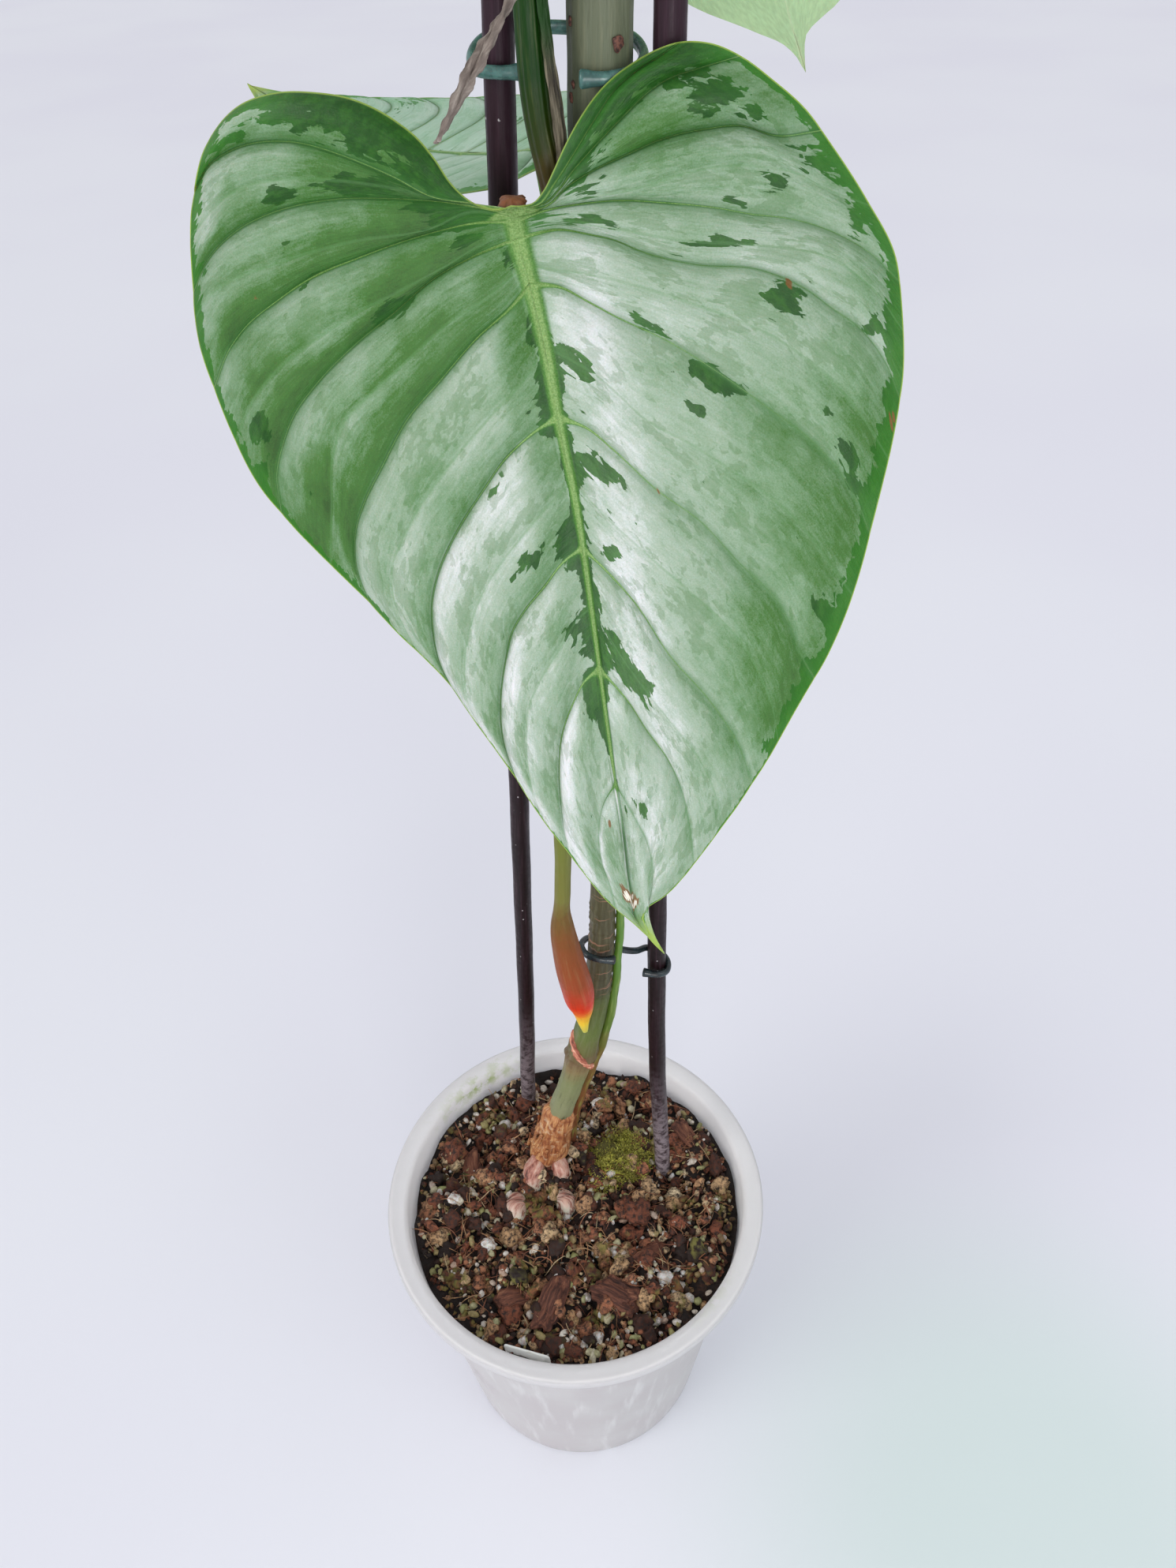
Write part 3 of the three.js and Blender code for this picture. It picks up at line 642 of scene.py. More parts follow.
# Bark chips
# Broken slabs of pine bark with layered, frayed faces, lying half sunk in the mix.
BARK_CHIPS = [
    ((-8, -34), (7.5, 3.4, 2.6), 65), ((-19, -30), (6, 3.6, 2.4), 20), ((12, -32), (7, 4.4, 2.6), -30),
    ((23, -18), (6.4, 3.2, 2.2), 35), ((-35, 14), (6, 3.2, 2.2), 100), ((38, 22), (5.6, 3.4, 2.2), -60)]
bark_look = Surface("pine_bark")
bark_layers = bark_look.streaks((0.12, 0.7, 1.6), 5, 0.65)
bark_colour = bark_look.bands(
    bark_layers,
    [(0.3, (34, 19, 15)), (0.45, (76, 42, 31)), (0.58, (118, 70, 50)), (0.72, (156, 110, 80))])
bark_look.set(
    base_color=bark_colour, roughness=bark_look.fade(bark_layers, 0.3, 0.7, 0.9, 0.65),
    normal=bark_look.bump(bark_layers, 0.8))
for number, (chip_place, chip_size, chip_turn) in enumerate(BARK_CHIPS, 1):
    chip_round, chip_faces = ball(4)
    chip_box = np.sign(chip_round) * np.abs(chip_round) ** 0.55
    chip_grain = chip_box * np.array(chip_size)
    frayed = 0.7 * lumps(chip_grain * [0.4, 1, 1.6] + 40 * number, 2.2, 11)
    frayed = frayed + 0.4 * lumps(chip_grain + 40 * number, 0.9, 12)
    chip_corners = chip_grain * (1 + 0.42 * frayed[:, None])
    chip_corners[:, 2] += 0.5 * np.sin(chip_grain[:, 0] * 0.5 + number)
    chip_way = turn_by(math.radians(chip_turn), "Z") @ turn_by(math.radians(8 * (-1) ** number), "Y")
    chip_corners = chip_corners @ chip_way.T
    chip_corners += [*chip_place, float(mix_height(*chip_place)) + 0.25 * chip_size[2]]
    chip = add_mesh(f"bark_chip_{number}_piece", chip_corners, chip_faces, bark_look, 70, grain=chip_grain)
    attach(chip, "root")
    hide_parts(f"bark_chip_{number}")

# Perlite
# White grains of expanded glass, pitted and light. The larger ones are pieces of their own and
# the small ones are spread over the mix.
PERLITE = [
    ((-28, -14), 2.6), ((-39.5, 0), 2.2), ((27, -26), 2.4), ((32, -27.5), 2.0), ((9, 36), 2.7),
    ((-5, -24), 2.6), ((-24, 30), 2.3), ((33, 2), 2.0)]
SMALL_PERLITE_COUNT = 110
perlite_look = Surface("perlite")
perlite_pits = perlite_look.cells(perlite_look.place(), 1500)
perlite_cloud = perlite_look.clouds(700, 4)
perlite_colour = perlite_look.tint((176, 166, 154), (228, 225, 222), perlite_cloud, 0.35, 0.65)
perlite_look.set(
    base_color=perlite_look.tint(perlite_colour, (140, 124, 110), perlite_pits, 0.05, 0.3, 0.5, 0),
    roughness=0.8, subsurface_weight=0.2, subsurface_scale=0.001,
    normal=perlite_look.bump(perlite_pits, 0.25))
for number, (grain_place, grain_radius) in enumerate(PERLITE, 1):
    grain_round, grain_faces = ball(4)
    pit_spots = grain_round * grain_radius + 30 * number
    pitted = 0.3 * lumps(pit_spots, 1.7, 21) + 0.1 * lumps(pit_spots, 0.6, 22)
    grain_corners = grain_round * (grain_radius * np.array([1, 0.85, 0.8])) * (1 + pitted[:, None])
    grain_corners += [*grain_place, float(mix_height(*grain_place)) + 0.45 * grain_radius]
    grain = add_mesh(f"perlite_{number}_piece", grain_corners, grain_faces, perlite_look, 80)
    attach(grain, "root")
    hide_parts(f"perlite_{number}")
small_places = spread_places(SMALL_PERLITE_COUNT, 50)
cluster = small_places[:SMALL_PERLITE_COUNT // 3]
cluster[:, 0] = 21 + 9 * random_mix.normal(size=len(cluster))
cluster[:, 1] = -27 + 6 * random_mix.normal(size=len(cluster))
cluster *= np.minimum(1, 50 / np.hypot(cluster[:, 0], cluster[:, 1]))[:, None]
small_places[:, 2] = mix_height(small_places[:, 0], small_places[:, 1])
small_places[:, 2] += random_mix.uniform(0.4, 1.4, SMALL_PERLITE_COUNT)
small_perlite = loose(
    "perlite_small", perlite_look, small_places, (0.5, 1.6), (0.7, 1.2), 3, 1.1, 0.3, smooth_below=80)
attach(small_perlite, "root")

# Moss cushion
# A low living cushion of moss behind the stem's foot: a dense dome of short leafy shoots.
MOSS_PLACE = (15.5, 15.5)
MOSS_HALF_SIZE = (9.5, 8, 2.6)
MOSS_SHOOTS = 1900
moss_look = Surface("moss_leaf")
moss_noise = moss_look.clouds(400)
moss_colour = moss_look.bands(moss_look.attribute("tone"), [
    (0, (62, 54, 22)), (0.35, (140, 136, 44)), (0.7, (182, 180, 66)), (1, (214, 206, 110))])
moss_look.set(
    base_color=moss_look.tint(moss_colour, (70, 60, 30), moss_noise, 0.35, 0.7, 0, 0.5), roughness=0.7,
    subsurface_weight=0.1, subsurface_scale=0.0006, normal=moss_look.bump(moss_noise, 0.1))
dome_round, dome_faces = ball(4)
dome = dome_round * np.array(MOSS_HALF_SIZE) * (1 + 0.12 * lumps(dome_round * 9, 2.4, 31)[:, None])
dome += [*MOSS_PLACE, float(mix_height(*MOSS_PLACE)) + 0.2]
moss_corners = dome.tolist()
moss_faces = dome_faces.tolist()
moss_tones = [0.1] * len(dome)
for shoot in range(MOSS_SHOOTS):
    angle = random_mix.uniform(0, 2 * math.pi)
    reach = math.sqrt(random_mix.random()) * (
        1.25 + 0.3 * math.sin(3 * angle + 1) + 0.2 * math.sin(5 * angle))
    across = MOSS_PLACE[0] + MOSS_HALF_SIZE[0] * reach * math.cos(angle)
    deep = MOSS_PLACE[1] + MOSS_HALF_SIZE[1] * reach * math.sin(angle)
    dome_height = MOSS_HALF_SIZE[2] * math.sqrt(max(0, 1 - min(reach, 1) ** 2))
    root = np.array([across, deep, float(mix_height(across, deep)) + 0.2 + dome_height])
    lean = np.array([
        0.6 * reach * math.cos(angle) + random_mix.normal(0, 0.6),
        0.6 * reach * math.sin(angle) + random_mix.normal(0, 0.6), 1])
    lean /= np.linalg.norm(lean)
    height = random_mix.uniform(0.8, 4)
    tone = random_mix.uniform(0.15, 0.9)
    for leaflet in range(6):
        turn = leaflet * 2.4 + shoot
        out = np.array([math.cos(turn), math.sin(turn), 0.55])
        start = root + lean * height * (0.2 + 0.15 * leaflet)
        tip = start + out * random_mix.uniform(0.5, 1.1)
        wide = np.cross(lean, out)
        wide = 0.13 * wide / np.linalg.norm(wide)
        middle = (start + tip) / 2
        base = len(moss_corners)
        moss_corners += [tuple(start), tuple(middle + wide), tuple(tip), tuple(middle - wide)]
        moss_faces += [(base, base + 1, base + 2), (base, base + 2, base + 3)]
        moss_tones += [tone * 0.6, tone, min(1, tone + 0.15), tone]
moss = add_mesh("moss_cushion_piece", moss_corners, moss_faces, moss_look, 80, tone=moss_tones)
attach(moss, "root")
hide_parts("moss_cushion")

# Plant label
# A plain strip of white plastic pushed down between the mix and the front wall. Its top edge shows.
LABEL_SIZE = (14, 0.6, 62)
LABEL_TOP = 102.6
LABEL_TURN = -17
LABEL_LEAN = math.atan2(POT_MOUTH_RADIUS - POT_BASE_RADIUS, POT_HEIGHT)
LABEL_CORNER = 1.2
label_look = Surface("label_plastic")
label_noise = label_look.clouds(300, 4)
label_look.set(
    base_color=label_look.tint((236, 238, 234), (196, 186, 160), label_noise, 0.5, 0.8, 0, 0.5),
    roughness=label_look.fade(label_noise, 0.3, 0.7, 0.35, 0.5),
    normal=label_look.bump(label_noise, 0.02))
label_outline = []
for side, end, start in ((1, 0, 0), (-1, 0, 90), (-1, -1, 180), (1, -1, 270)):
    bend_middle = (
        side * (LABEL_SIZE[0] / 2 - LABEL_CORNER),
        -LABEL_CORNER - end * (2 * LABEL_CORNER - LABEL_SIZE[2]))
    for angle in np.radians(start + 18 * np.arange(6)):
        label_outline.append((*bend_middle, LABEL_CORNER * math.cos(angle), LABEL_CORNER * math.sin(angle)))
label_rings = []
for depth, inset in ((0.3, 0.12), (0.2, 0), (-0.2, 0), (-0.3, 0.12)):
    share = 1 - inset / LABEL_CORNER
    label_rings.append(
        [(x + share * out_x, depth, z + share * out_z) for x, z, out_x, out_z in label_outline])
label_middle = -LABEL_SIZE[2] / 2
label_corners, label_faces = closed_tube(
    np.array(label_rings), (0, 0.3, label_middle), (0, -0.3, label_middle))
label_corners = label_corners @ turn_by(LABEL_LEAN, "X").T + [0, -POT_MOUTH_RADIUS + 2.6, LABEL_TOP]
label_corners = label_corners @ turn_by(math.radians(LABEL_TURN), "Z").T
label = add_mesh("plant_label_strip", label_corners, label_faces, label_look, 40)
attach(label, "root")
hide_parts("plant_label")

# Stakes
# Two straight steel tubes in a dark purple-brown plastic skin, pushed down into the mix. They have
# a fine moulding seam, and dust and lime stains near the foot.
STAKE_LEFT = [
    (-14.5, 35, 14, 2.5), (-16.2, 39, 70, 2.5), (-16.1, 39.8, 96, 2.5), (-13.9, 35.8, 144, 2.5),
    (-9.5, 27, 252, 2.5), (-2.8, 14.8, 399, 2.5), (2, 6.1, 505, 2.5)]
STAKE_RIGHT = [
    (30.9, 14.6, 14, 2.5), (29.1, 13.1, 96, 2.5), (26.4, 11.6, 155, 2.5), (25.1, 9.9, 224, 2.5),
    (23.7, 5.1, 421, 2.5), (23.1, 3.1, 505, 2.5)]


def smooth_route(points, step, count=None):
    """Evenly spaced points on a smooth curve through the given ones, any number of values each."""
    points = np.asarray(points, dtype=float)
    reach = np.linalg.norm(np.diff(points[:, :3], axis=0), axis=1)
    place = np.concatenate([[0], np.cumsum(reach)])
    pace = np.diff(points, axis=0) / reach[:, None]
    slopes = np.empty_like(points)
    slopes[0] = pace[0]
    slopes[-1] = pace[-1]
    weight = reach[1:, None] / (reach[1:] + reach[:-1])[:, None]
    slopes[1:-1] = pace[:-1] * weight + pace[1:] * (1 - weight)
    count = count or max(3, int(round(place[-1] / step)) + 1)
    spots = np.linspace(0, place[-1], count)
    part = np.clip(np.searchsorted(place, spots, "right") - 1, 0, len(points) - 2)
    share = ((spots - place[part]) / reach[part])[:, None]
    gap = reach[part][:, None]
    curve = (2 * share ** 3 - 3 * share ** 2 + 1) * points[part]
    curve += (share ** 3 - 2 * share ** 2 + share) * gap * slopes[part]
    curve += (3 * share ** 2 - 2 * share ** 3) * points[part + 1]
    curve += (share ** 3 - share ** 2) * gap * slopes[part + 1]
    return curve, spots


def limb(name, stations, surface, sides=32, step=1.0, facing=(0, -1, 0), shape=None, smooth_below=60):
    """A round limb along stations of x, y, z and radius in mm, closed by domes. shape gives how
    far the skin stands out from the radius, from the length along it, the angle round it (0 at
    the facing side) and the height. The mesh stores grain (round and along) and rise."""
    route, along = smooth_route(stations, step)
    centre = route[:, :3]
    radius = route[:, 3]
    ahead = np.gradient(centre, axis=0)
    ahead /= np.linalg.norm(ahead, axis=1)[:, None]
    front = np.array(facing) - (ahead @ np.array(facing))[:, None] * ahead
    front /= np.linalg.norm(front, axis=1)[:, None]
    aside = np.cross(ahead, front)
    around = np.arange(sides) * 2 * math.pi / sides
    turn = np.stack([np.cos(around), np.sin(around)], 1)
    out = turn[:, :1] * front[:, None, :] + turn[:, 1:] * aside[:, None, :]
    reach = radius[:, None] + np.zeros((1, sides))
    if shape is not None:
        reach = reach + shape(along[:, None], around[None, :], centre[:, 2][:, None])
    skin = centre[:, None, :] + reach[:, :, None] * out
    rings = [skin]
    tips = []
    for end, way in ((0, -1), (-1, 1)):
        onward = way * radius[end] * ahead[end]
        dome = centre[end] + 0.82 * (skin[end] - centre[end]) + 0.25 * onward
        rings.insert(0 if end == 0 else 2, dome[None])
        tips.append(centre[end] + 0.35 * onward)
    corners, faces = closed_tube(np.concatenate(rings), *tips)
    order = [0, *range(len(along)), -1]
    grain = np.zeros((len(order), sides, 3))
    grain[:, :, :2] = radius[order][:, None, None] * turn
    grain[:, :, 2] = along[order][:, None]
    grain = np.vstack([[[0, 0, along[0]]], grain.reshape(-1, 3), [[0, 0, along[-1]]]])
    return add_mesh(name, corners, faces, surface, smooth_below, grain=grain, rise=corners[:, 2])


def seam(along, around, height):
    """A fine moulding seam down one side of a stake, and slight unevenness."""
    ridge = 0.09 * np.exp(-((around - 5.35) / 0.09) ** 2)
    return ridge + 0.05 * np.sin(along * 0.21 + around) + 0.01 * np.sin(along * 0.83 + 2 * around)


stake_look = Surface("stake_skin")
stake_rise = stake_look.attribute("rise")
stake_streaks = stake_look.streaks((1.6, 1.6, 0.08), 4, 0.6)
stake_dust = stake_look.streaks(0.55, 5, 0.7)
stake_specks = stake_look.cells(stake_look.grain(0.42), 1)
stake_colour = stake_look.bands(
    stake_streaks, [(0.3, (22, 11, 14)), (0.5, (32, 18, 22)), (0.7, (52, 35, 42))])
stake_colour = stake_look.tint(stake_colour, (66, 44, 58), stake_rise, 300, 400, 0, 0.35)
stake_low = stake_look.fade(stake_rise, 96, 165, 1, 0)
stake_dusty = stake_look.times(stake_low, stake_look.fade(stake_dust, 0.38, 0.6, 0.1, 0.8))
stake_colour = stake_look.mix(stake_dusty, stake_colour, (158, 146, 152))
stake_speckled = stake_look.times(
    stake_look.fade(stake_specks, 0.06, 0.13, 0.8, 0), stake_look.fade(stake_dust, 0.5, 0.56))
stake_colour = stake_look.mix(stake_speckled, stake_colour, (206, 200, 204))
stake_look.set(
    base_color=stake_colour, roughness=stake_look.fade(stake_dust, 0.35, 0.65, 0.34, 0.5),
    specular_ior_level=0.18, normal=stake_look.bump(stake_streaks, 0.08))
for stake_name, stake_route in (("stake_left", STAKE_LEFT), ("stake_right", STAKE_RIGHT)):
    stake = limb(f"{stake_name}_rod", stake_route, stake_look, 40, 1.5, shape=seam)
    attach(stake, "root")
    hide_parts(stake_name)

# Clips
# Bent rods of soft plastic that hook round the stem and a stake. The upper one is a clear teal,
# the lower one nearly black.
CLIP_ROD = 0.9
CLIP_UPPER = [
    (1.9, 9.4, 416.9), (-2, 9.3, 416.9), (-5.4, 10.6, 417.2), (-6.2, 13.6, 418.2), (-4.6, 17, 419.8),
    (-1, 17.8, 420.8), (5, 15.6, 421.6), (10, 14, 421.6), (14.8, 13.9, 421.2), (18.6, 11.6, 420.3),
    (19.95, 7.4, 418.9), (18.2, 2.6, 417.8), (14.4, 0.4, 417.4), (10.4, 0.5, 417.4)]
CLIP_LOWER = [
    (13.4, -1.7, 220.8), (10, -2.1, 221.6), (6.6, -0.8, 222), (5.2, 2.6, 221.6), (6.6, 6.4, 220),
    (10, 8.2, 217.2), (15, 8.6, 213), (19.8, 10.6, 209.6), (23.2, 13.2, 207.6), (26.2, 13.3, 205.8),
    (28.4, 11, 204.2), (27.9, 7.9, 204), (25.2, 6.4, 204.4), (21.6, 7, 204.8)]


def clip_shape(along, around, height):
    """The rod is a little flattened, with a knob at each end."""
    whole = along[-1, 0]
    knob = 0.35 * (np.exp(-(along / 1.6) ** 2) + np.exp(-((along - whole) / 1.6) ** 2))
    return knob + 0.08 * np.cos(2 * around)


clip_parts = [
    ("clip_upper", CLIP_UPPER, "clip_teal_plastic", (78, 118, 112), (50, 84, 80)),
    ("clip_lower", CLIP_LOWER, "clip_dark_plastic", (44, 56, 60), (22, 30, 34))]
for clip_name, clip_route, clip_slot, clip_light, clip_dark in clip_parts:
    clip_look = Surface(f"{clip_name}_plastic")
    clip_noise = clip_look.streaks(0.7, 4)
    clip_look.set(
        base_color=clip_look.tint(clip_light, clip_dark, clip_noise, 0.35, 0.65),
        roughness=clip_look.fade(clip_noise, 0.3, 0.7, 0.18, 0.34), subsurface_weight=0.15,
        subsurface_scale=0.001, normal=clip_look.bump(clip_noise, 0.06))
    clip_piece = limb(
        f"{clip_name}_rod", [(*spot, CLIP_ROD) for spot in clip_route], clip_look, 20, 0.4,
        facing=(0, 0, 1), shape=clip_shape)
    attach(clip_piece, "root")
    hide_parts(clip_name)

# Stem
# One climbing shoot. Each node is a swollen ring with a scar where an old leaf or its sheath sat,
# and the skin between is finely wrinkled, with small corky dots.
STEM = [
    (-14, 21.5, 78, 3.3), (-11.5, 19, 92, 3.6), (-8.3, 16, 105, 3.8), (-2.8, 10.9, 137, 3.75),
    (2.5, 6.5, 164, 3.9), (3.6, 6, 170, 4.3), (5.2, 5.2, 178, 3.95), (9, 3.5, 204, 3.6),
    (10.7, 2.8, 231, 3.2), (11.6, 3.1, 262, 3.4), (11.9, 3.8, 284, 4), (12, 4, 291, 4.5),
    (12.1, 4.2, 299, 4), (12.7, 5.4, 345, 4.6), (13.2, 6.3, 388, 5), (13.3, 6.5, 396, 5.6),
    (13.3, 6.7, 404, 5.2), (14, 7.3, 440, 5.2), (14.2, 7.4, 450, 5.5), (14.3, 7.4, 456, 4.4)]
# Ring scars as (height, how far they stand out, half-width, tilt towards the front)
STEM_RINGS = [
    (104, 0.35, 0.8, 1), (111, 0.3, 0.7, -1), (118, 0.25, 0.6, 1), (170, 0.55, 1.1, 2.5),
    (174.5, 0.4, 0.8, -2), (203, 0.25, 0.5, 1), (207, 0.3, 0.5, -1), (211, 0.25, 0.5, 1),
    (224, 0.28, 0.5, -1), (228.5, 0.3, 0.5, 1), (233, 0.25, 0.5, 1), (237, 0.2, 0.5, -1),
    (291, 0.6, 1.2, 3), (296, 0.35, 0.7, 2), (343, 0.2, 0.5, 1), (396, 0.6, 1.2, -3), (402, 0.4, 0.8, -2),
    (430, 0.2, 0.5, 1), (450, 0.5, 1, 2)]


def stem_shape(along, around, height):
    """Ring scars, fine wrinkles along the stem and slight lumps."""
    out = 0.10 * np.sin(7 * around + 0.02 * along) + 0.06 * np.sin(13 * around - 0.05 * along + 1)
    out = out + 0.12 * np.sin(along * 0.35 + around) * np.sin(along * 0.11)
    for place, stand, half_width, tilt in STEM_RINGS:
        offset = height - place - tilt * np.cos(around) - 0.25 * np.sin(3 * around + place)
        ring = np.exp(-(offset / half_width) ** 2) - 0.5 * np.exp(-((offset + 1.6) / 0.7) ** 2)
        out = out + stand * ring
    return out


stem_look = Surface("stem_skin")
stem_rise = stem_look.attribute("rise")
stem_streaks = stem_look.streaks((1.1, 1.1, 0.09), 5, 0.6)
stem_cloud = stem_look.streaks(0.22, 4, 0.6)
stem_dots = stem_look.cells(stem_look.grain((0.5, 0.5, 0.2)), 1)
stem_wander = stem_look.sway(stem_rise, stem_cloud, 9.0)
stem_colour = stem_look.bands(stem_wander, [
    (90, (128, 78, 52)), (108, (124, 98, 66)), (116, (124, 124, 92)), (140, (132, 136, 102)),
    (158, (120, 126, 86)), (166, (128, 112, 76)), (171, (100, 76, 50)), (176, (96, 92, 52)),
    (184, (90, 104, 48)), (200, (80, 90, 44)), (206, (66, 64, 40)), (222, (70, 64, 42)),
    (240, (76, 72, 46)), (288, (88, 92, 56)), (293, (118, 84, 58)), (300, (92, 96, 68)),
    (396, (92, 96, 72)), (410, (94, 102, 80)), (456, (104, 108, 88))])
stem_colour = stem_look.tint(stem_colour, (132, 130, 102), stem_streaks, 0.45, 0.75, 0, 0.35)
stem_colour = stem_look.tint(stem_colour, (52, 50, 32), stem_streaks, 0.46, 0.25, 0, 0.5)
stem_dotted = stem_look.times(
    stem_look.fade(stem_dots, 0.05, 0.16, 0.75, 0), stem_look.fade(stem_cloud, 0.48, 0.56))
stem_colour = stem_look.mix(stem_dotted, stem_colour, (104, 74, 58))
# Tan and brown hoops where sheaths were shed
hoops = stem_look.streaks((0.05, 0.05, 0.8), 3, 0.6)
hoop_zone = stem_look.times(stem_look.fade(stem_rise, 196, 206), stem_look.fade(stem_rise, 238, 256, 1, 0))
hoop_share = stem_look.times(hoop_zone, stem_look.fade(hoops, 0.56, 0.62, 0, 0.7))
stem_colour = stem_look.mix(hoop_share, stem_colour, (158, 116, 94))
stem_look.set(
    base_color=stem_colour, roughness=stem_look.fade(stem_cloud, 0.3, 0.7, 0.42, 0.6),
    specular_ior_level=0.3, normal=stem_look.bump(stem_streaks, 0.25, stem_look.bump(stem_dots, 0.08)))
stem = limb("stem_shoot", STEM, stem_look, 56, 0.7, shape=stem_shape)
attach(stem, "root")
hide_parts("stem")
stem_route = np.array(STEM)

# Corky brown lenticels on the stem, as (height, angle from the front, half-size)
LENTICELS = [
    (421.6, 26, 0.9), (414.2, -62, 0.6), (416, -56, 0.5), (424, -64, 0.6), (433, 12, 0.5), (262, 20, 0.4)]


def on_stem(height, angle):
    """The point on the stem's skin at that height and angle from the front, and the way out there."""
    middle = [np.interp(height, stem_route[:, 2], stem_route[:, axis]) for axis in (0, 1)]
    out = np.array([math.sin(math.radians(angle)), -math.cos(math.radians(angle)), 0])
    return np.array([*middle, height]) + out * np.interp(height, stem_route[:, 2], stem_route[:, 3]), out


lenticel_spots = list(LENTICELS)
for _ in range(34):
    lenticel_spots.append((
        random_mix.uniform(245, 450), random_mix.uniform(-180, 180), random_mix.uniform(0.2, 0.55)))
lenticel_places = []
lenticel_turns = []
for height, angle, half_size in lenticel_spots:
    place, out = on_stem(height, angle)
    lenticel_places.append(place)
    lenticel_turns.append(np.stack([np.cross([0, 0, 1], out), [0, 0, 1], out], 1))
lenticel_sizes = np.array([half_size for _, _, half_size in lenticel_spots])[:, None] * [0.9, 1.2, 0.3]
# These draws are not used. They keep the later ones as they are.
random_mix.random(len(lenticel_spots))
lenticels = scatter(2, np.array(lenticel_places), lenticel_sizes, np.array(lenticel_turns), 0.5, 0.4)
lenticel_look = Surface("lenticel_cork")
lenticel_noise = lenticel_look.clouds(1800)
lenticel_look.set(
    base_color=lenticel_look.tint((52, 30, 25), (112, 70, 56), lenticel_noise, 0.35, 0.65), roughness=0.7,
    normal=lenticel_look.bump(lenticel_noise, 0.1))
lenticel_mesh = add_mesh("stem_lenticels", lenticels[0], lenticels[1], lenticel_look, 80)
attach(lenticel_mesh, "root")

# Papery scar of a shed sheath, which crosses the lower node from the upper left to the lower right
FLAP = [
    (182, -100, 0.5), (180.5, -75, 0.9), (177.5, -45, 1.1), (173.6, -5, 1.2), (169, 40, 1),
    (165.5, 66, 0.7), (162, 84, 0.4)]
flap_look = Surface("papery_scar")
flap_streaks = flap_look.streaks((1.4, 1.4, 0.3), 5, 0.65)
flap_look.set(
    base_color=flap_look.bands(
        flap_streaks,
        [(0.3, (88, 42, 30)), (0.44, (158, 84, 62)), (0.56, (204, 134, 108)), (0.7, (228, 184, 156))]),
    roughness=0.6, normal=flap_look.bump(flap_streaks, 0.3))


def flap_shape(along, around, height):
    """A torn, uneven edge."""
    spots = np.stack(np.broadcast_arrays(np.cos(around), np.sin(around), along), -1).reshape(-1, 3)
    return 0.35 * lumps(spots, 0.8, 96).reshape(len(along), -1) - 0.1 * np.cos(2 * around)


flap = limb(
    "stem_scar_flap", [(*on_stem(height, angle)[0], size) for height, angle, size in FLAP], flap_look, 20,
    0.3, facing=(0, 0, 1), shape=flap_shape)
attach(flap, "root")

# Rolled new leaf
# The next leaf, still rolled up tight to a pointed spear on the stem's end. The rolled margin
# winds round it.
NEW_LEAF = [
    (14.4, 7.3, 455.6, 4), (15, 6.4, 466, 4.1), (16.2, 4, 482, 3.1), (17.8, 1.6, 500, 1.7),
    (18.8, -0.2, 515, 0.35)]


def rolled_shape(along, around, height):
    """The free margin stands out as a step that winds once round the spear."""
    winding = (around + along * 0.075) % (2 * math.pi) / (2 * math.pi)
    return (0.55 * winding - 0.25) * np.clip((515 - height) / 30, 0.15, 1) * np.clip(along / 6, 0, 1)


new_leaf_look = Surface("rolled_leaf_skin")
new_leaf_streaks = new_leaf_look.streaks((1.2, 1.2, 0.1), 4)
new_leaf_colour = new_leaf_look.bands(
    new_leaf_look.attribute("rise"),
    [(456, (128, 120, 84)), (466, (150, 164, 92)), (490, (158, 182, 100)), (515, (186, 174, 96))])
new_leaf_look.set(
    base_color=new_leaf_look.tint(new_leaf_colour, (196, 212, 160), new_leaf_streaks, 0.4, 0.7, 0, 0.6),
    roughness=0.42, subsurface_weight=0.15, subsurface_scale=0.002,
    normal=new_leaf_look.bump(new_leaf_streaks, 0.2))
new_leaf = limb("rolled_new_leaf_spear", NEW_LEAF, new_leaf_look, 48, 0.6, shape=rolled_shape)
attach(new_leaf, "root")
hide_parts("rolled_new_leaf")

# Sheath at the foot
# Old papery leaf sheaths round the stem's foot, orange-brown, split and frayed at the top.
BASE_SHEATH = [
    (-10.6, 18.2, 97.5, 5.6), (-8.3, 16, 105, 6.4), (-6.3, 14.1, 117, 5.9), (-3.5, 11.5, 134, 4.9)]
SHEATH_STRIPS = 16
sheath_look = Surface("papery_sheath")
sheath_streaks = sheath_look.streaks((0.9, 0.9, 0.14), 5, 0.65)
sheath_colour = sheath_look.bands(
    sheath_streaks,
    [(0.3, (84, 46, 28)), (0.42, (146, 84, 48)), (0.55, (184, 126, 78)), (0.7, (214, 176, 126))])
sheath_cloud = sheath_look.streaks(0.35, 3, 0.6)
sheath_colour = sheath_look.tint(sheath_colour, (206, 178, 146), sheath_cloud, 0.54, 0.66, 0, 0.6)
sheath_colour = sheath_look.tint(sheath_colour, (112, 50, 34), sheath_cloud, 0.44, 0.34, 0, 0.6)
sheath_look.set(
    base_color=sheath_colour, roughness=sheath_look.fade(sheath_streaks, 0.3, 0.7, 0.5, 0.75),
    normal=sheath_look.bump(sheath_streaks, 0.4))


def sheath_shape(along, around, height):
    """Overlapping folds with a ragged outer face."""
    spots = np.stack(
        np.broadcast_arrays(4 * np.cos(around), 4 * np.sin(around), 0.25 * along), -1).reshape(-1, 3)
    ragged = 0.7 * lumps(spots, 2.6, 91) + 0.35 * lumps(spots, 1, 92)
    folds = 0.3 * np.sin(5 * around + 0.25 * along) + 0.14 * np.abs(np.sin(9 * around - 0.12 * along))
    return folds + ragged.reshape(len(along), -1) - 0.5


def strip_shape(along, around, height):
    """Pressed flat."""
    return -0.72 * np.abs(np.cos(around)) * np.clip(1.7 - 0.1 * along, 0.5, 1.7)


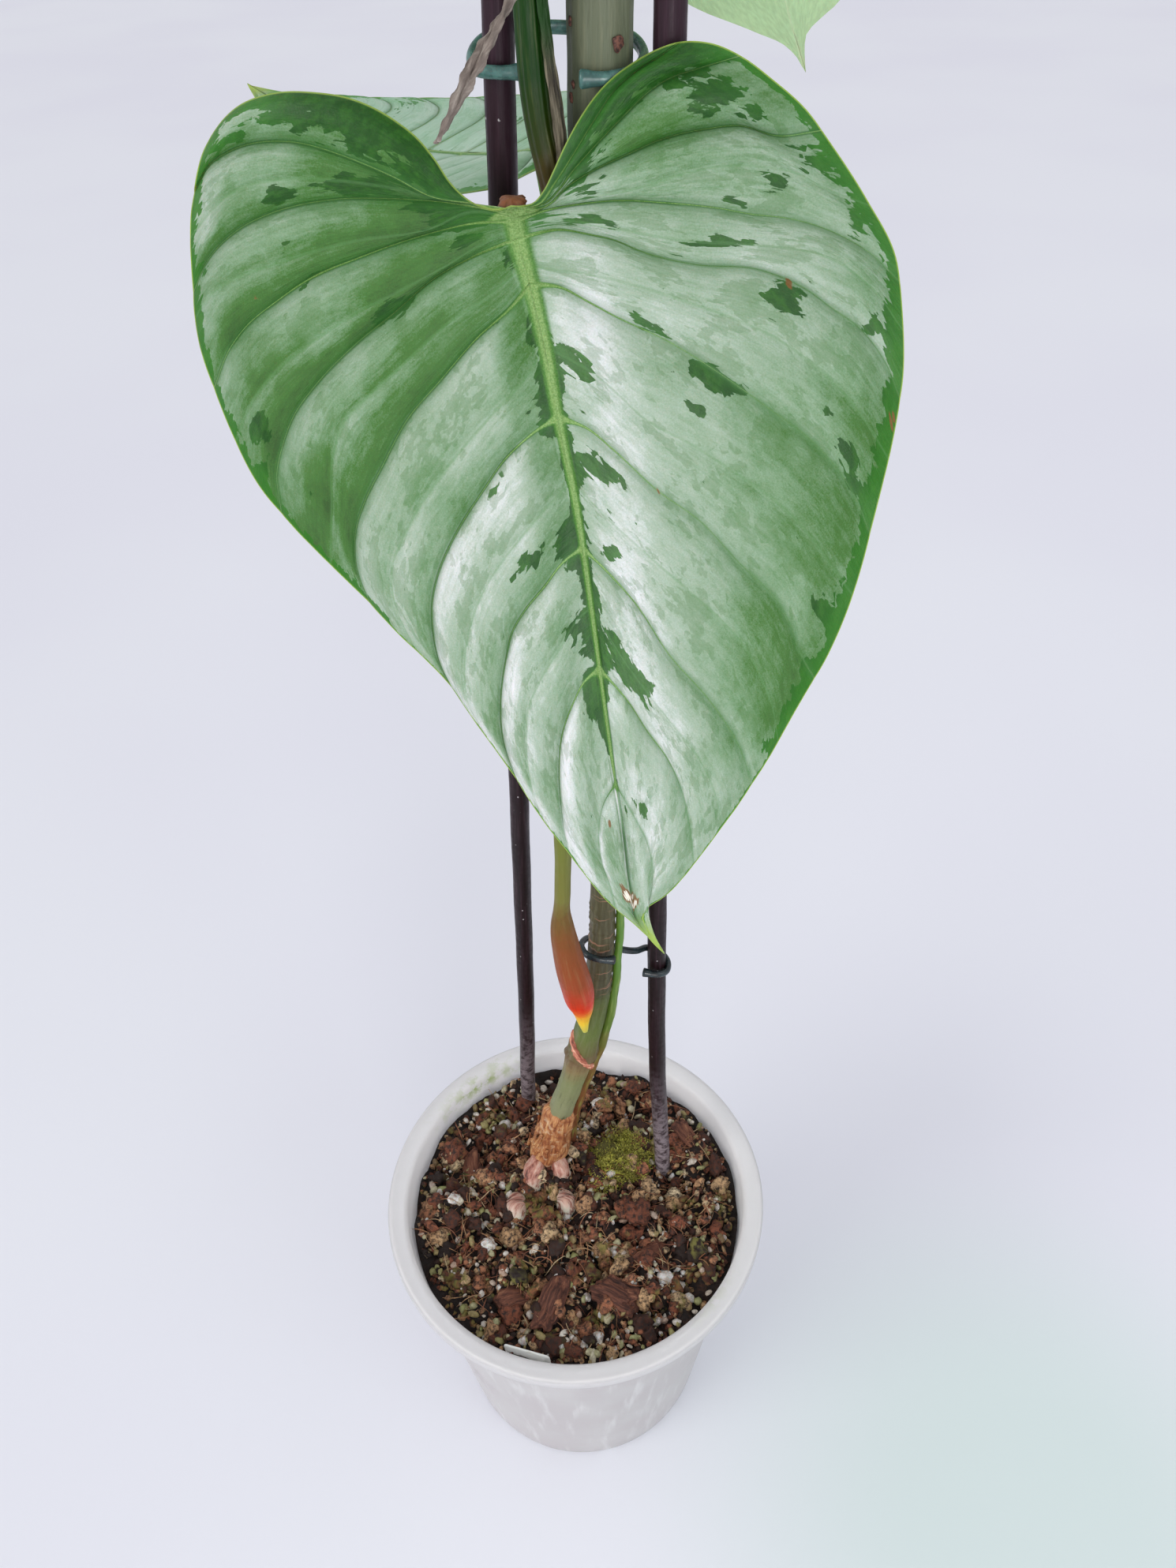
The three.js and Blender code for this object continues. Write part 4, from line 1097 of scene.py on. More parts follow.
sheath = limb("base_sheath_wrap", BASE_SHEATH, sheath_look, 56, 0.5, shape=sheath_shape)
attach(sheath, "root")
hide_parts("base_sheath")
for number in range(1, SHEATH_STRIPS + 1):
    strip_angle = 2.4 * number
    strip_stations = []
    strip_top = random_mix.uniform(112, 136)
    for share in (0, 0.35, 0.7, 1):
        height = strip_top - random_mix.uniform(9, 13) * (1 - share)
        middle = np.array([-10.6 + (height - 97.5) * 0.1945, 18.2 - (height - 97.5) * 0.1836])
        out = 6.3 - 0.075 * (height - 105) + 1.5 * share ** 2 - 0.4
        turned_by = strip_angle + 0.3 * share
        strip_stations.append((
            middle[0] + out * math.cos(turned_by), middle[1] + out * math.sin(turned_by), height,
            1.7 - 1.2 * share))
    facing = (math.cos(strip_angle), math.sin(strip_angle), 0)
    strip = limb(
        f"base_sheath_strip_{number}", strip_stations, sheath_look, 14, 0.6, facing=facing,
        shape=strip_shape)
    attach(strip, "root")

# Clinging root
# An air root that runs down the stem's right side. It is fresh green above, turns brown and
# wrinkled lower down, and goes into the mix.
CLINGING_ROOT = [
    (17.4, 5.2, 287, 0.9), (16.3, 4.2, 262, 1.2), (15.4, 3.6, 233, 1.3), (14.6, 4, 215, 1.3),
    (13.2, 5.4, 196, 1.5), (10.3, 7.2, 176, 1.6), (6.4, 10.6, 156, 1.6), (2.9, 13.7, 138, 1.6),
    (0.4, 18.4, 118, 1.7), (-1, 22, 100, 1.6), (-2.2, 23.6, 86, 1.3)]


def root_shape(along, around, height):
    """Flattened against the stem, with slight knots."""
    return 0.22 * np.cos(2 * around) + 0.12 * np.sin(along * 0.35 + around) + 0.03 * np.sin(along * 1.1)


root_look = Surface("clinging_root_skin")
root_streaks = root_look.streaks((1.3, 1.3, 0.12), 4)
root_wander = root_look.sway(root_look.attribute("rise"), root_look.streaks(0.12), 30.0, 0)
root_colour = root_look.bands(root_wander, [
    (110, (96, 54, 36)), (150, (124, 78, 44)), (178, (118, 92, 46)), (200, (88, 112, 34)),
    (235, (80, 124, 34)), (300, (96, 124, 50))])
root_look.set(
    base_color=root_look.tint(root_colour, (150, 164, 84), root_streaks, 0.45, 0.75, 0, 0.5),
    roughness=0.45, normal=root_look.bump(root_streaks, 0.2))
clinging_root = limb("clinging_root_strand", CLINGING_ROOT, root_look, 28, 0.8, shape=root_shape)
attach(clinging_root, "root")
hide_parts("clinging_root")

# Stub roots
# Short thick young roots that grow down from the stem's foot into the mix, pink and cream.
STUB_ROOTS = [
    [(-12.2, 13.2, 103, 2.4), (-13.5, 10, 101, 3.6), (-14.3, 7.4, 98, 3.7), (-14.8, 6, 94.5, 2.6),
     (-14.8, 6, 91, 1.6)],
    [(-5.8, 13.2, 103, 2), (-5.2, 10.8, 101.2, 3), (-4.8, 8.8, 97.8, 2.9), (-4.6, 7.8, 94.5, 2.2),
     (-4.6, 7.8, 91, 1.5)],
    [(-4.2, 7, 98, 1.4), (-3.7, 2.8, 98, 1.9), (-3.2, -0.2, 98.6, 3.1), (-3, -1.8, 95.5, 2.8),
     (-3, -2.2, 91, 1.6)],
    [(-17.8, 10, 97, 1.6), (-18.8, 3, 97, 2.2), (-19.4, -1.4, 98.4, 3.7), (-19.8, -3.8, 95.5, 3.2),
     (-20, -4.4, 91, 2)]]
FOOT_CRUMBS = 260
stub_look = Surface("stub_root_skin")
stub_noise = stub_look.streaks((0.6, 0.6, 0.3), 5, 0.65)
stub_colour = stub_look.bands(
    stub_noise,
    [(0.32, (84, 46, 36)), (0.42, (150, 92, 78)), (0.52, (188, 138, 122)), (0.68, (214, 186, 170))])
stub_pale = stub_look.times(
    stub_look.fade(stub_noise, 0.38, 0.5), stub_look.fade(stub_look.attribute("rise"), 98, 102.5, 0.9, 0))
stub_colour = stub_look.mix(stub_pale, stub_colour, (214, 212, 196))
stub_look.set(
    base_color=stub_colour, roughness=0.5, subsurface_weight=0.15, subsurface_scale=0.001,
    normal=stub_look.bump(stub_noise, 0.3))


def stub_shape(along, around, height):
    """Slight lumps."""
    return 0.3 * np.sin(along * 0.8 + 2 * around) * np.sin(along * 0.5 + around)


for number, stub_route in enumerate(STUB_ROOTS, 1):
    stub = limb(f"stub_root_{number}_piece", stub_route, stub_look, 32, 0.35, shape=stub_shape)
    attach(stub, "root")
    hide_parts(f"stub_root_{number}")
foot_places = np.zeros((FOOT_CRUMBS, 3))
foot_places[:, 0] = random_mix.normal(-8, 8, FOOT_CRUMBS)
foot_places[:, 1] = random_mix.normal(7.5, 4, FOOT_CRUMBS)
foot_places[:, 2] = mix_height(*foot_places.T[:2]) + random_mix.uniform(0, 2.4, FOOT_CRUMBS)
foot_mesh = loose("foot_crumbs", crumb_look, foot_places, (0.5, 1.7), (0.5, 1.3), 2, 1, 0.5, tone_skew=1.5)
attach(foot_mesh, "root")

# Leaf stalks
# Each leaf hangs on a stalk with its own base on the stem. The front one is swollen and flushed
# red-orange at the base. The upper one is deep green and ridged, and holds the hanging leaf.
STALK_FRONT = [
    (5.2, 1, 188, 0.8), (5, -1.4, 196, 1.7), (4.8, -4.2, 205, 2.9), (4.2, -7.2, 214, 3.9),
    (3.2, -8.3, 223, 4), (1.7, -8.4, 233, 3.5), (1, -8.2, 242, 2.8), (1, -8, 247.5, 2),
    (1.5, -7.9, 254, 1.9), (2, -8, 267, 1.9), (2, -5.5, 310, 1.9), (0.6, -2.4, 360, 1.85),
    (-0.5, -1, 392, 1.9), (-0.6, -2, 399.2, 1.9), (-0.65, -2.3, 401.8, 1.9)]
STALK_BACK = [
    (12, 8.8, 292, 2), (11.6, 13.5, 302, 2.4), (10.7, 19, 320, 2.1), (9, 28.5, 350, 1.8),
    (6.4, 38.8, 379, 1.7), (3.2, 48.5, 395.2, 1.7)]
STALK_UPPER = [
    (8.4, 3, 392, 1.6), (6.4, 3.2, 402, 2.4), (4.8, 3.5, 409, 2.45), (3.5, 3.1, 426, 2.4),
    (3.6, 1.4, 446, 2.3), (5.6, 1.4, 464, 2.2), (7.8, 6.4, 482, 2.1), (6.6, 14.4, 499, 1.9),
    (2.3, 26.1, 513.7, 1.8)]


def smooth_stalk(along, around, height):
    """Fine lengthwise ribs, a shallow groove, and corky lumps where the stalk enters the blade."""
    spots = np.stack(np.broadcast_arrays(2 * np.cos(around), 2 * np.sin(around), along), -1).reshape(-1, 3)
    corky = lumps(spots, 0.55, 95).reshape(len(along), -1) * np.clip((height - 398.5) / 2, 0, 1)
    ribs = 0.03 * np.sin(9 * around) + 0.06 * np.sin(along * 0.4 + around)
    return ribs + 0.7 * corky - 0.12 * np.exp(-((around - 3.4) / 0.4) ** 2)


def ridged_stalk(along, around, height):
    """Raised lengthwise ridges."""
    split = 0.5 * np.exp(-((around - 0.5) / 0.16) ** 2)
    return 0.25 * np.abs(np.sin(3.5 * around)) + 0.06 * np.sin(along * 0.3) - split


stalk_parts = [
    (
        "petiole_front", STALK_FRONT, smooth_stalk,
        [
            (188, (190, 190, 90)), (196, (232, 196, 56)), (203, (234, 160, 44)), (207, (222, 92, 30)),
            (211, (204, 46, 16)), (216, (172, 50, 18)), (223, (138, 60, 22)), (238, (120, 68, 28)),
            (246, (106, 80, 36)), (252, (110, 108, 48)), (300, (96, 118, 44)), (396, (94, 132, 48)),
            (399, (120, 80, 48)), (403, (132, 84, 58))]),
    (
        "petiole_back", STALK_BACK, smooth_stalk,
        [(292, (120, 108, 62)), (305, (118, 134, 66)), (350, (112, 150, 66)), (396, (130, 168, 84))]),
    (
        "petiole_upper", STALK_UPPER, ridged_stalk,
        [
            (392, (128, 70, 42)), (400, (80, 56, 24)), (408, (42, 52, 8)), (418, (12, 50, 2)),
            (440, (12, 58, 2)), (514, (90, 136, 56))])]
for stalk_name, stalk_route, stalk_shape, stalk_colours in stalk_parts:
    stalk_look = Surface(f"{stalk_name}_skin")
    stalk_streaks = stalk_look.streaks((1.5, 1.5, 0.08), 4, 0.6)
    stalk_cloud = stalk_look.streaks(0.3, 4, 0.6)
    stalk_wander = stalk_look.sway(stalk_look.attribute("rise"), stalk_cloud, 8.0)
    stalk_colour = stalk_look.bands(stalk_wander, stalk_colours)
    stalk_colour = stalk_look.tint(stalk_colour, (186, 186, 130), stalk_streaks, 0.5, 0.8, 0, 0.12)
    stalk_colour = stalk_look.tint(stalk_colour, (60, 52, 22), stalk_streaks, 0.45, 0.25, 0, 0.3)
    stalk_look.set(
        base_color=stalk_colour, roughness=stalk_look.fade(stalk_cloud, 0.3, 0.7, 0.35, 0.5),
        specular_ior_level=0.2, subsurface_weight=0.1, subsurface_scale=0.001,
        normal=stalk_look.bump(stalk_streaks, 0.12))
    stalk = limb(f"{stalk_name}_stalk", stalk_route, stalk_look, 56, 0.7, shape=stalk_shape)
    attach(stalk, "root")
    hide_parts(stalk_name)
# Dry fibrous edge of the upper stalk's old sheath, between the stalk and the stem
DRY_EDGE = [
    (6.9, 0.9, 403, 0.4), (7.1, 0.6, 410, 0.95), (6.3, 0.4, 417, 0.9), (5.5, 0.5, 424, 0.8),
    (5, 0.2, 434, 0.9), (5.2, -0.5, 446, 0.9), (6.9, -0.9, 458, 0.4)]
dry_edge_look = Surface("petiole_upper_edge")
dry_edge_streaks = dry_edge_look.streaks((1.8, 1.8, 0.1), 5, 0.65)
dry_edge_grey = dry_edge_look.bands(
    dry_edge_streaks, [(0.36, (34, 28, 22)), (0.48, (72, 66, 52)), (0.62, (118, 110, 92))])
dry_edge_look.set(
    base_color=dry_edge_look.tint(dry_edge_grey, (20, 58, 10), dry_edge_look.attribute("rise"), 417, 425),
    roughness=0.5, specular_ior_level=0.28, normal=dry_edge_look.bump(dry_edge_streaks, 0.3))


def dry_edge_shape(along, around, height):
    """Pressed flat, with fine ridges."""
    return -0.25 * np.abs(np.cos(around)) + 0.12 * np.sin(7 * around + 0.8 * along)


dry_edge = limb(
    "petiole_upper_dry_edge", DRY_EDGE, dry_edge_look, 20, 0.5, facing=(0.4, -1, 0), shape=dry_edge_shape)
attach(dry_edge, "root")

# Front leaf
# The large heart-shaped blade that hangs in front of the stem. It is quilted: the main veins lie in
# sharp creases with rounded ridges between, the surface is silvery with jagged dark green patches.
BLADE_SAMPLES = 76
BLADE_STEPS = 13
BLADE_THICKNESS = 0.5
# Each route runs from the midrib to the margin as (across, along) in mm from the stalk, with
# True for a main vein in a deep crease. Routes go from the gap between the lobes to the tip.
FRONT_LEFT_OUTLINE = [
    (0, 0), (-2.5, 0.2), (-4.5, -0.6), (-6.4, -2), (-8.4, -4.6), (-10, -8.1), (-11.8, -11.1),
    (-14.7, -14.1), (-17.7, -16.4), (-21.5, -18.4), (-25.6, -19.7), (-31.7, -20.8), (-38.7, -20.2),
    (-45.5, -16.5), (-51.1, -9.5), (-55.8, 1.7), (-58.1, 11.3), (-57.3, 24.3), (-54.4, 36.7), (-47, 48.4),
    (-41.5, 56), (-36.1, 63.9), (-29.6, 73.9), (-25, 86.1), (-21.3, 96.5), (-16.7, 111.8), (-12.6, 123.2),
    (-8.5, 133.4), (-6.1, 137.7), (-4.3, 141.2), (-3.5, 142.9), (0, 150.4)]
FRONT_RIGHT_OUTLINE = [
    (0, 0), (1.4, 0.3), (3.2, 0.3), (5, -0.9), (7, -3.2), (9.4, -6.2), (12.4, -9.4), (15.4, -11.9),
    (18.1, -13.5), (20.9, -14.6), (24.6, -15.6), (28.1, -15.9), (32.6, -14.9), (36.9, -12.4),
    (41.1, -8.6), (45.4, -4.1), (49.5, 2.4), (53.7, 10.1), (57.4, 18.6), (57.9, 27.6), (57.2, 37.2),
    (54.7, 46.8), (51, 57.5), (46.5, 69.7), (40.4, 82.1), (33.7, 92), (23.1, 107.5), (13.8, 119.5),
    (7.5, 127.3), (2.3, 132.6), (-1.1, 134.9), (-2.8, 137.6), (-2.4, 141.6), (-0.8, 146.4), (0, 150.4)]
FRONT_MIDRIB = [
    (0, 0), (0, 4.3), (0.6, 12.2), (1, 20.3), (0.9, 31), (1.1, 45.4), (0.5, 59.2), (-0.4, 74),
    (-1.7, 94.4), (-2.8, 113.7), (-4, 129.1), (-4.2, 137.8), (-2.6, 144), (0, 150.4)]
FRONT_STARTS = [0, 0.5, 0.8, 1.2, 1.7, 2.3, 3.3, 4.6, 8.5, 11, 20.5, 31.2, 41.8, 53, 64, 75.5, 101, 122]
FRONT_LEFT_ROUTES = [
    ([(-45.5, -16.5)], True),
    ([(-5.5, -1.2), (-11.6, -3.2), (-16.7, -6.8), (-23.2, -10.6), (-31.3, -14.1), (-40.6, -14.9),
      (-46.8, -13.2), (-50.7, -10)], True),
    ([(-10.8, -2.8), (-17.1, -5.4), (-25.5, -7.9), (-34.5, -9.6), (-43, -9.2), (-49.5, -6.4),
      (-53.4, -3.6)], False),
    ([(-10.3, -2.3), (-17.4, -4), (-27.4, -5.5), (-37, -5.4), (-44.7, -3.8), (-51.9, -0.2),
      (-55.7, 4.7)], True),
    ([(-5.9, -0.2), (-13.1, 1), (-25.3, 0.6), (-32.1, 1), (-39.4, 1.8), (-47.2, 2.9), (-53.9, 5.3),
      (-56.2, 8.4)], False),
    ([(-6.2, 1.4), (-12.5, 1.5), (-19.1, 2.1), (-25.9, 3.1), (-33.1, 4.4), (-41.1, 7.2), (-48.2, 10.4),
      (-52.9, 13.8), (-56, 19.2)], True),
    ([(-3.5, 3.9), (-12.5, 6.6), (-20.8, 8.8), (-28.1, 10.7), (-35.9, 13.6), (-44.5, 17.5), (-50.2, 21.5),
      (-54.4, 28)], False),
    ([(-7.2, 5.8), (-14.1, 7.8), (-21.5, 11.5), (-29.3, 15.2), (-38, 20.4), (-44, 25.2), (-47.9, 30.2),
      (-50.2, 34.1), (-51.6, 41.1)], True),
    ([(-7.3, 12.1), (-12.6, 14), (-22.1, 19.1), (-28.2, 22.5), (-34.1, 26.1), (-38, 31.4), (-41, 40.1),
      (-45.2, 51)], False),
    ([(-2.7, 13.6), (-9.2, 17.2), (-17.2, 22.9), (-23.4, 27.4), (-30.2, 34.7), (-35, 40.2), (-38, 44.7),
      (-40.2, 51.9), (-39.6, 58.6)], True),
    ([(-1.7, 23.2), (-8.9, 28.4), (-13.4, 31.6), (-19.8, 36.7), (-24.3, 40.8), (-29.5, 46.7),
      (-32.6, 50.9), (-34.3, 57.9), (-33.4, 68)], False),
    ([(-3.7, 33), (-8.6, 35.9), (-13.9, 40.8), (-21.1, 48.4), (-25.1, 53.9), (-27.6, 59.1), (-29, 65),
      (-29.4, 71), (-28.6, 76.4)], True),
    ([(-5.8, 46.3), (-10.9, 50.6), (-16.2, 55.7), (-21, 62.7), (-24.4, 70.8), (-25.8, 78.1),
      (-25, 86)], False),
    ([(-3.2, 55.1), (-7, 58.6), (-11.3, 62.4), (-14.2, 65.8), (-17, 71.7), (-20.2, 81.3), (-21.4, 89.1),
      (-21, 97.5)], True),
    ([(-2.2, 65.3), (-6.6, 70.1), (-11.7, 76.1), (-14.7, 80.9), (-16.7, 87.9), (-17.9, 95.8),
      (-17.9, 107.6)], False),
    ([(-3.6, 77.8), (-7, 82.6), (-10.1, 88.7), (-12.1, 95.9), (-13.6, 105), (-14.8, 117)], True),
    ([(-5, 105), (-7.3, 111.5), (-8.4, 119.2), (-7.9, 128), (-7.4, 134)], True),
    ([(-4, 129.1), (-4.2, 137.8), (-2.6, 144), (0, 150.4)], True)]
FRONT_RIGHT_ROUTES = [
    ([(24.6, -15.6)], True),
    ([(4.3, 0.6), (6.6, -1.3), (10.6, -5), (14, -8.3), (18, -11.8), (21.4, -13.5), (24.8, -14.6),
      (28.2, -15.6)], True),
    ([(5, 0.7), (10.6, -3.2), (14.4, -5.7), (19, -8.5), (22.5, -10.5), (26, -11.7), (30.2, -12.1),
      (36.5, -12.2)], True),
    ([(5.5, 1), (8.4, -0.7), (13.3, -2.3), (18.9, -3.4), (23.2, -4.2), (30.6, -4.3), (35.5, -3.7),
      (40.8, -1.3), (47.6, -0.4)], True),
    ([(10.6, 1.2), (17.2, 1.4), (24.8, 0.8), (31.5, 0.8), (36.4, 1.7), (42.5, 3.8), (47.6, 7.2),
      (54, 11)], False),
    ([(5.1, 1.6), (10.6, 1.8), (17.1, 2.6), (21.8, 3.8), (30.7, 6.4), (35.5, 8.2), (41.2, 10),
      (45.8, 12.1), (49.8, 14.6), (53.5, 17.6), (57.4, 22.9)], True),
    ([(5.8, 3.3), (14.9, 6.1), (25.3, 9.7), (34.7, 12.2), (40.7, 13.9), (47.4, 17), (53, 22.3),
      (57.7, 30)], False),
    ([(6.6, 4.6), (10.6, 6), (14.5, 7.6), (18.2, 9.9), (26.3, 13.4), (35.4, 15.9), (42.6, 20.3),
      (46.6, 24.1), (50, 27.2), (54.7, 34.7), (56.4, 40.5)], True),
    ([(11.3, 12), (18.2, 15.1), (25.5, 18.9), (31.5, 22.3), (37.5, 26.5), (42, 30.9), (46.5, 36.2),
      (49.8, 41.4), (53.8, 49.6)], False),
    ([(5, 12.4), (8.8, 15.2), (12.6, 18.1), (20.6, 23.6), (26.6, 28.8), (34.6, 36.6), (40.7, 42.9),
      (45.2, 49.4), (47.4, 54.2), (49.6, 61.4)], True),
    ([(7, 24.7), (11.4, 29.7), (14.3, 33.5), (21, 38.9), (26.9, 44.3), (31.5, 48.8), (35.3, 53),
      (39.1, 58.8), (41.7, 64), (45.6, 71.6)], False),
    ([(5.2, 33.7), (8.7, 37.7), (14.9, 45.9), (21.1, 52.4), (26.5, 60.9), (32.2, 69.3), (34, 74),
      (35.2, 80), (37.4, 86.6)], True),
    ([(8.1, 51.4), (12.5, 57.2), (18.5, 65), (22.6, 70.8), (25.9, 77), (27.8, 83.3), (29.1, 89),
      (29.6, 98)], False),
    ([(4.2, 57.9), (7.6, 63.8), (12.3, 75.6), (18.1, 86.3), (20.6, 92.4), (22.3, 98), (23.4, 107)], True),
    ([(5.1, 76.8), (11, 90.1), (14.2, 97.3), (16.1, 104.9), (16.6, 116)], False),
    ([(3.6, 83.8), (5.8, 90.3), (8.6, 97.2), (10, 104.1), (10.4, 111.1), (9.8, 124.6)], True),
    ([(0.1, 109.7), (1.5, 116.4), (1.5, 123.5), (0, 131), (-2.4, 136.6)], True),
    ([(-4, 129.1), (-4.2, 137.8), (-2.6, 144), (0, 150.4)], True)]


def flat_line(points, step, count=None):
    """Evenly spaced (across, along) points on a smooth line through the given ones."""
    line, _ = smooth_route([(across, along, 0) for across, along in points], step, count)
    return line[:, :2]


def along_midrib(midrib, distance):
    """The point of the midrib at that distance from the stalk."""
    line = flat_line(midrib, 0.5)
    return np.array([np.interp(distance, line[:, 1], line[:, 0]), distance])


def half_blade(outline, midrib, starts, routes):
    """One half of a blade as a grid over steps between routes and samples from midrib to margin.
    Gives the (across, along) positions, the share between the two routes, the share between the
    two main veins, and the widths of both spaces in mm."""
    edge = flat_line(outline, 0.25)
    index = np.arange(len(edge))
    samples = np.linspace(0, 1, BLADE_SAMPLES) ** 1.3
    lines = []
    ends = []
    for number, (start, (points, _)) in enumerate(zip(starts, routes)):
        end = int(np.argmin(np.linalg.norm(edge - np.array(points[-1]), axis=1)))
        if number == 0:
            dense = edge[:end + 1]
        else:
            dense = flat_line([tuple(along_midrib(midrib, start))] + points[:-1] + [tuple(edge[end])], 0.2)
        place = np.linspace(0, 1, len(dense))
        lines.append(np.stack([np.interp(samples, place, dense[:, axis]) for axis in (0, 1)], 1))
        ends.append(end)
    spaces = [np.linalg.norm(lines[k + 1] - lines[k], axis=1) for k in range(len(lines) - 1)]
    mains = [k for k, (_, main) in enumerate(routes) if main]
    grid = {}
    for k in range(len(lines) - 1):
        first = max(m for m in mains if m <= k)
        last = min(m for m in mains if m > k)
        group = sum(spaces[first:last])
        before = sum(spaces[first:k]) if k > first else 0 * group
        steps = BLADE_STEPS + 1 if k == len(lines) - 2 else BLADE_STEPS
        for step in range(steps):
            share = step / BLADE_STEPS
            row = (1 - share) * lines[k] + share * lines[k + 1]
            spot = (1 - share) * ends[k] + share * ends[k + 1]
            target = np.array([np.interp(spot, index, edge[:, axis]) for axis in (0, 1)])
            row = row + (target - row[-1]) * (samples ** 2)[:, None]
            passed = before + share * spaces[k]
            from_first = 99.0 if first == 0 else passed
            from_last = 99.0 if last == len(lines) - 1 else group - passed
            values = {
                "at": row, "share": share + 0 * samples, "big_share": passed / np.maximum(group, 1e-6),
                "space": spaces[k], "big_space": group,
                "near_main": np.minimum(from_first, from_last) + 0 * group,
                "near_small": np.minimum(share, 1 - share) * spaces[k]}
            for key, value in values.items():
                grid.setdefault(key, []).append(value)
    grid = {key: np.array(value) for key, value in grid.items()}
    grid["reach"] = samples + 0 * grid["share"]
    grid["edge"] = edge
    return grid


def distance_to(line, points):
    """Distance in mm from each point to a line of many points."""
    nearest = np.full(len(points), 1e9)
    for start, end in zip(line[:-1], line[1:]):
        way = end - start
        part = np.clip(((points - start) @ way) / max(way @ way, 1e-9), 0, 1)
        nearest = np.minimum(nearest, np.linalg.norm(points - start - part[:, None] * way, axis=1))
    return nearest


def smooth_step(value, low, high):
    """0 below low, 1 above high, smooth between."""
    share = np.clip((value - low) / (high - low), 0, 1)
    return share * share * (3 - 2 * share)


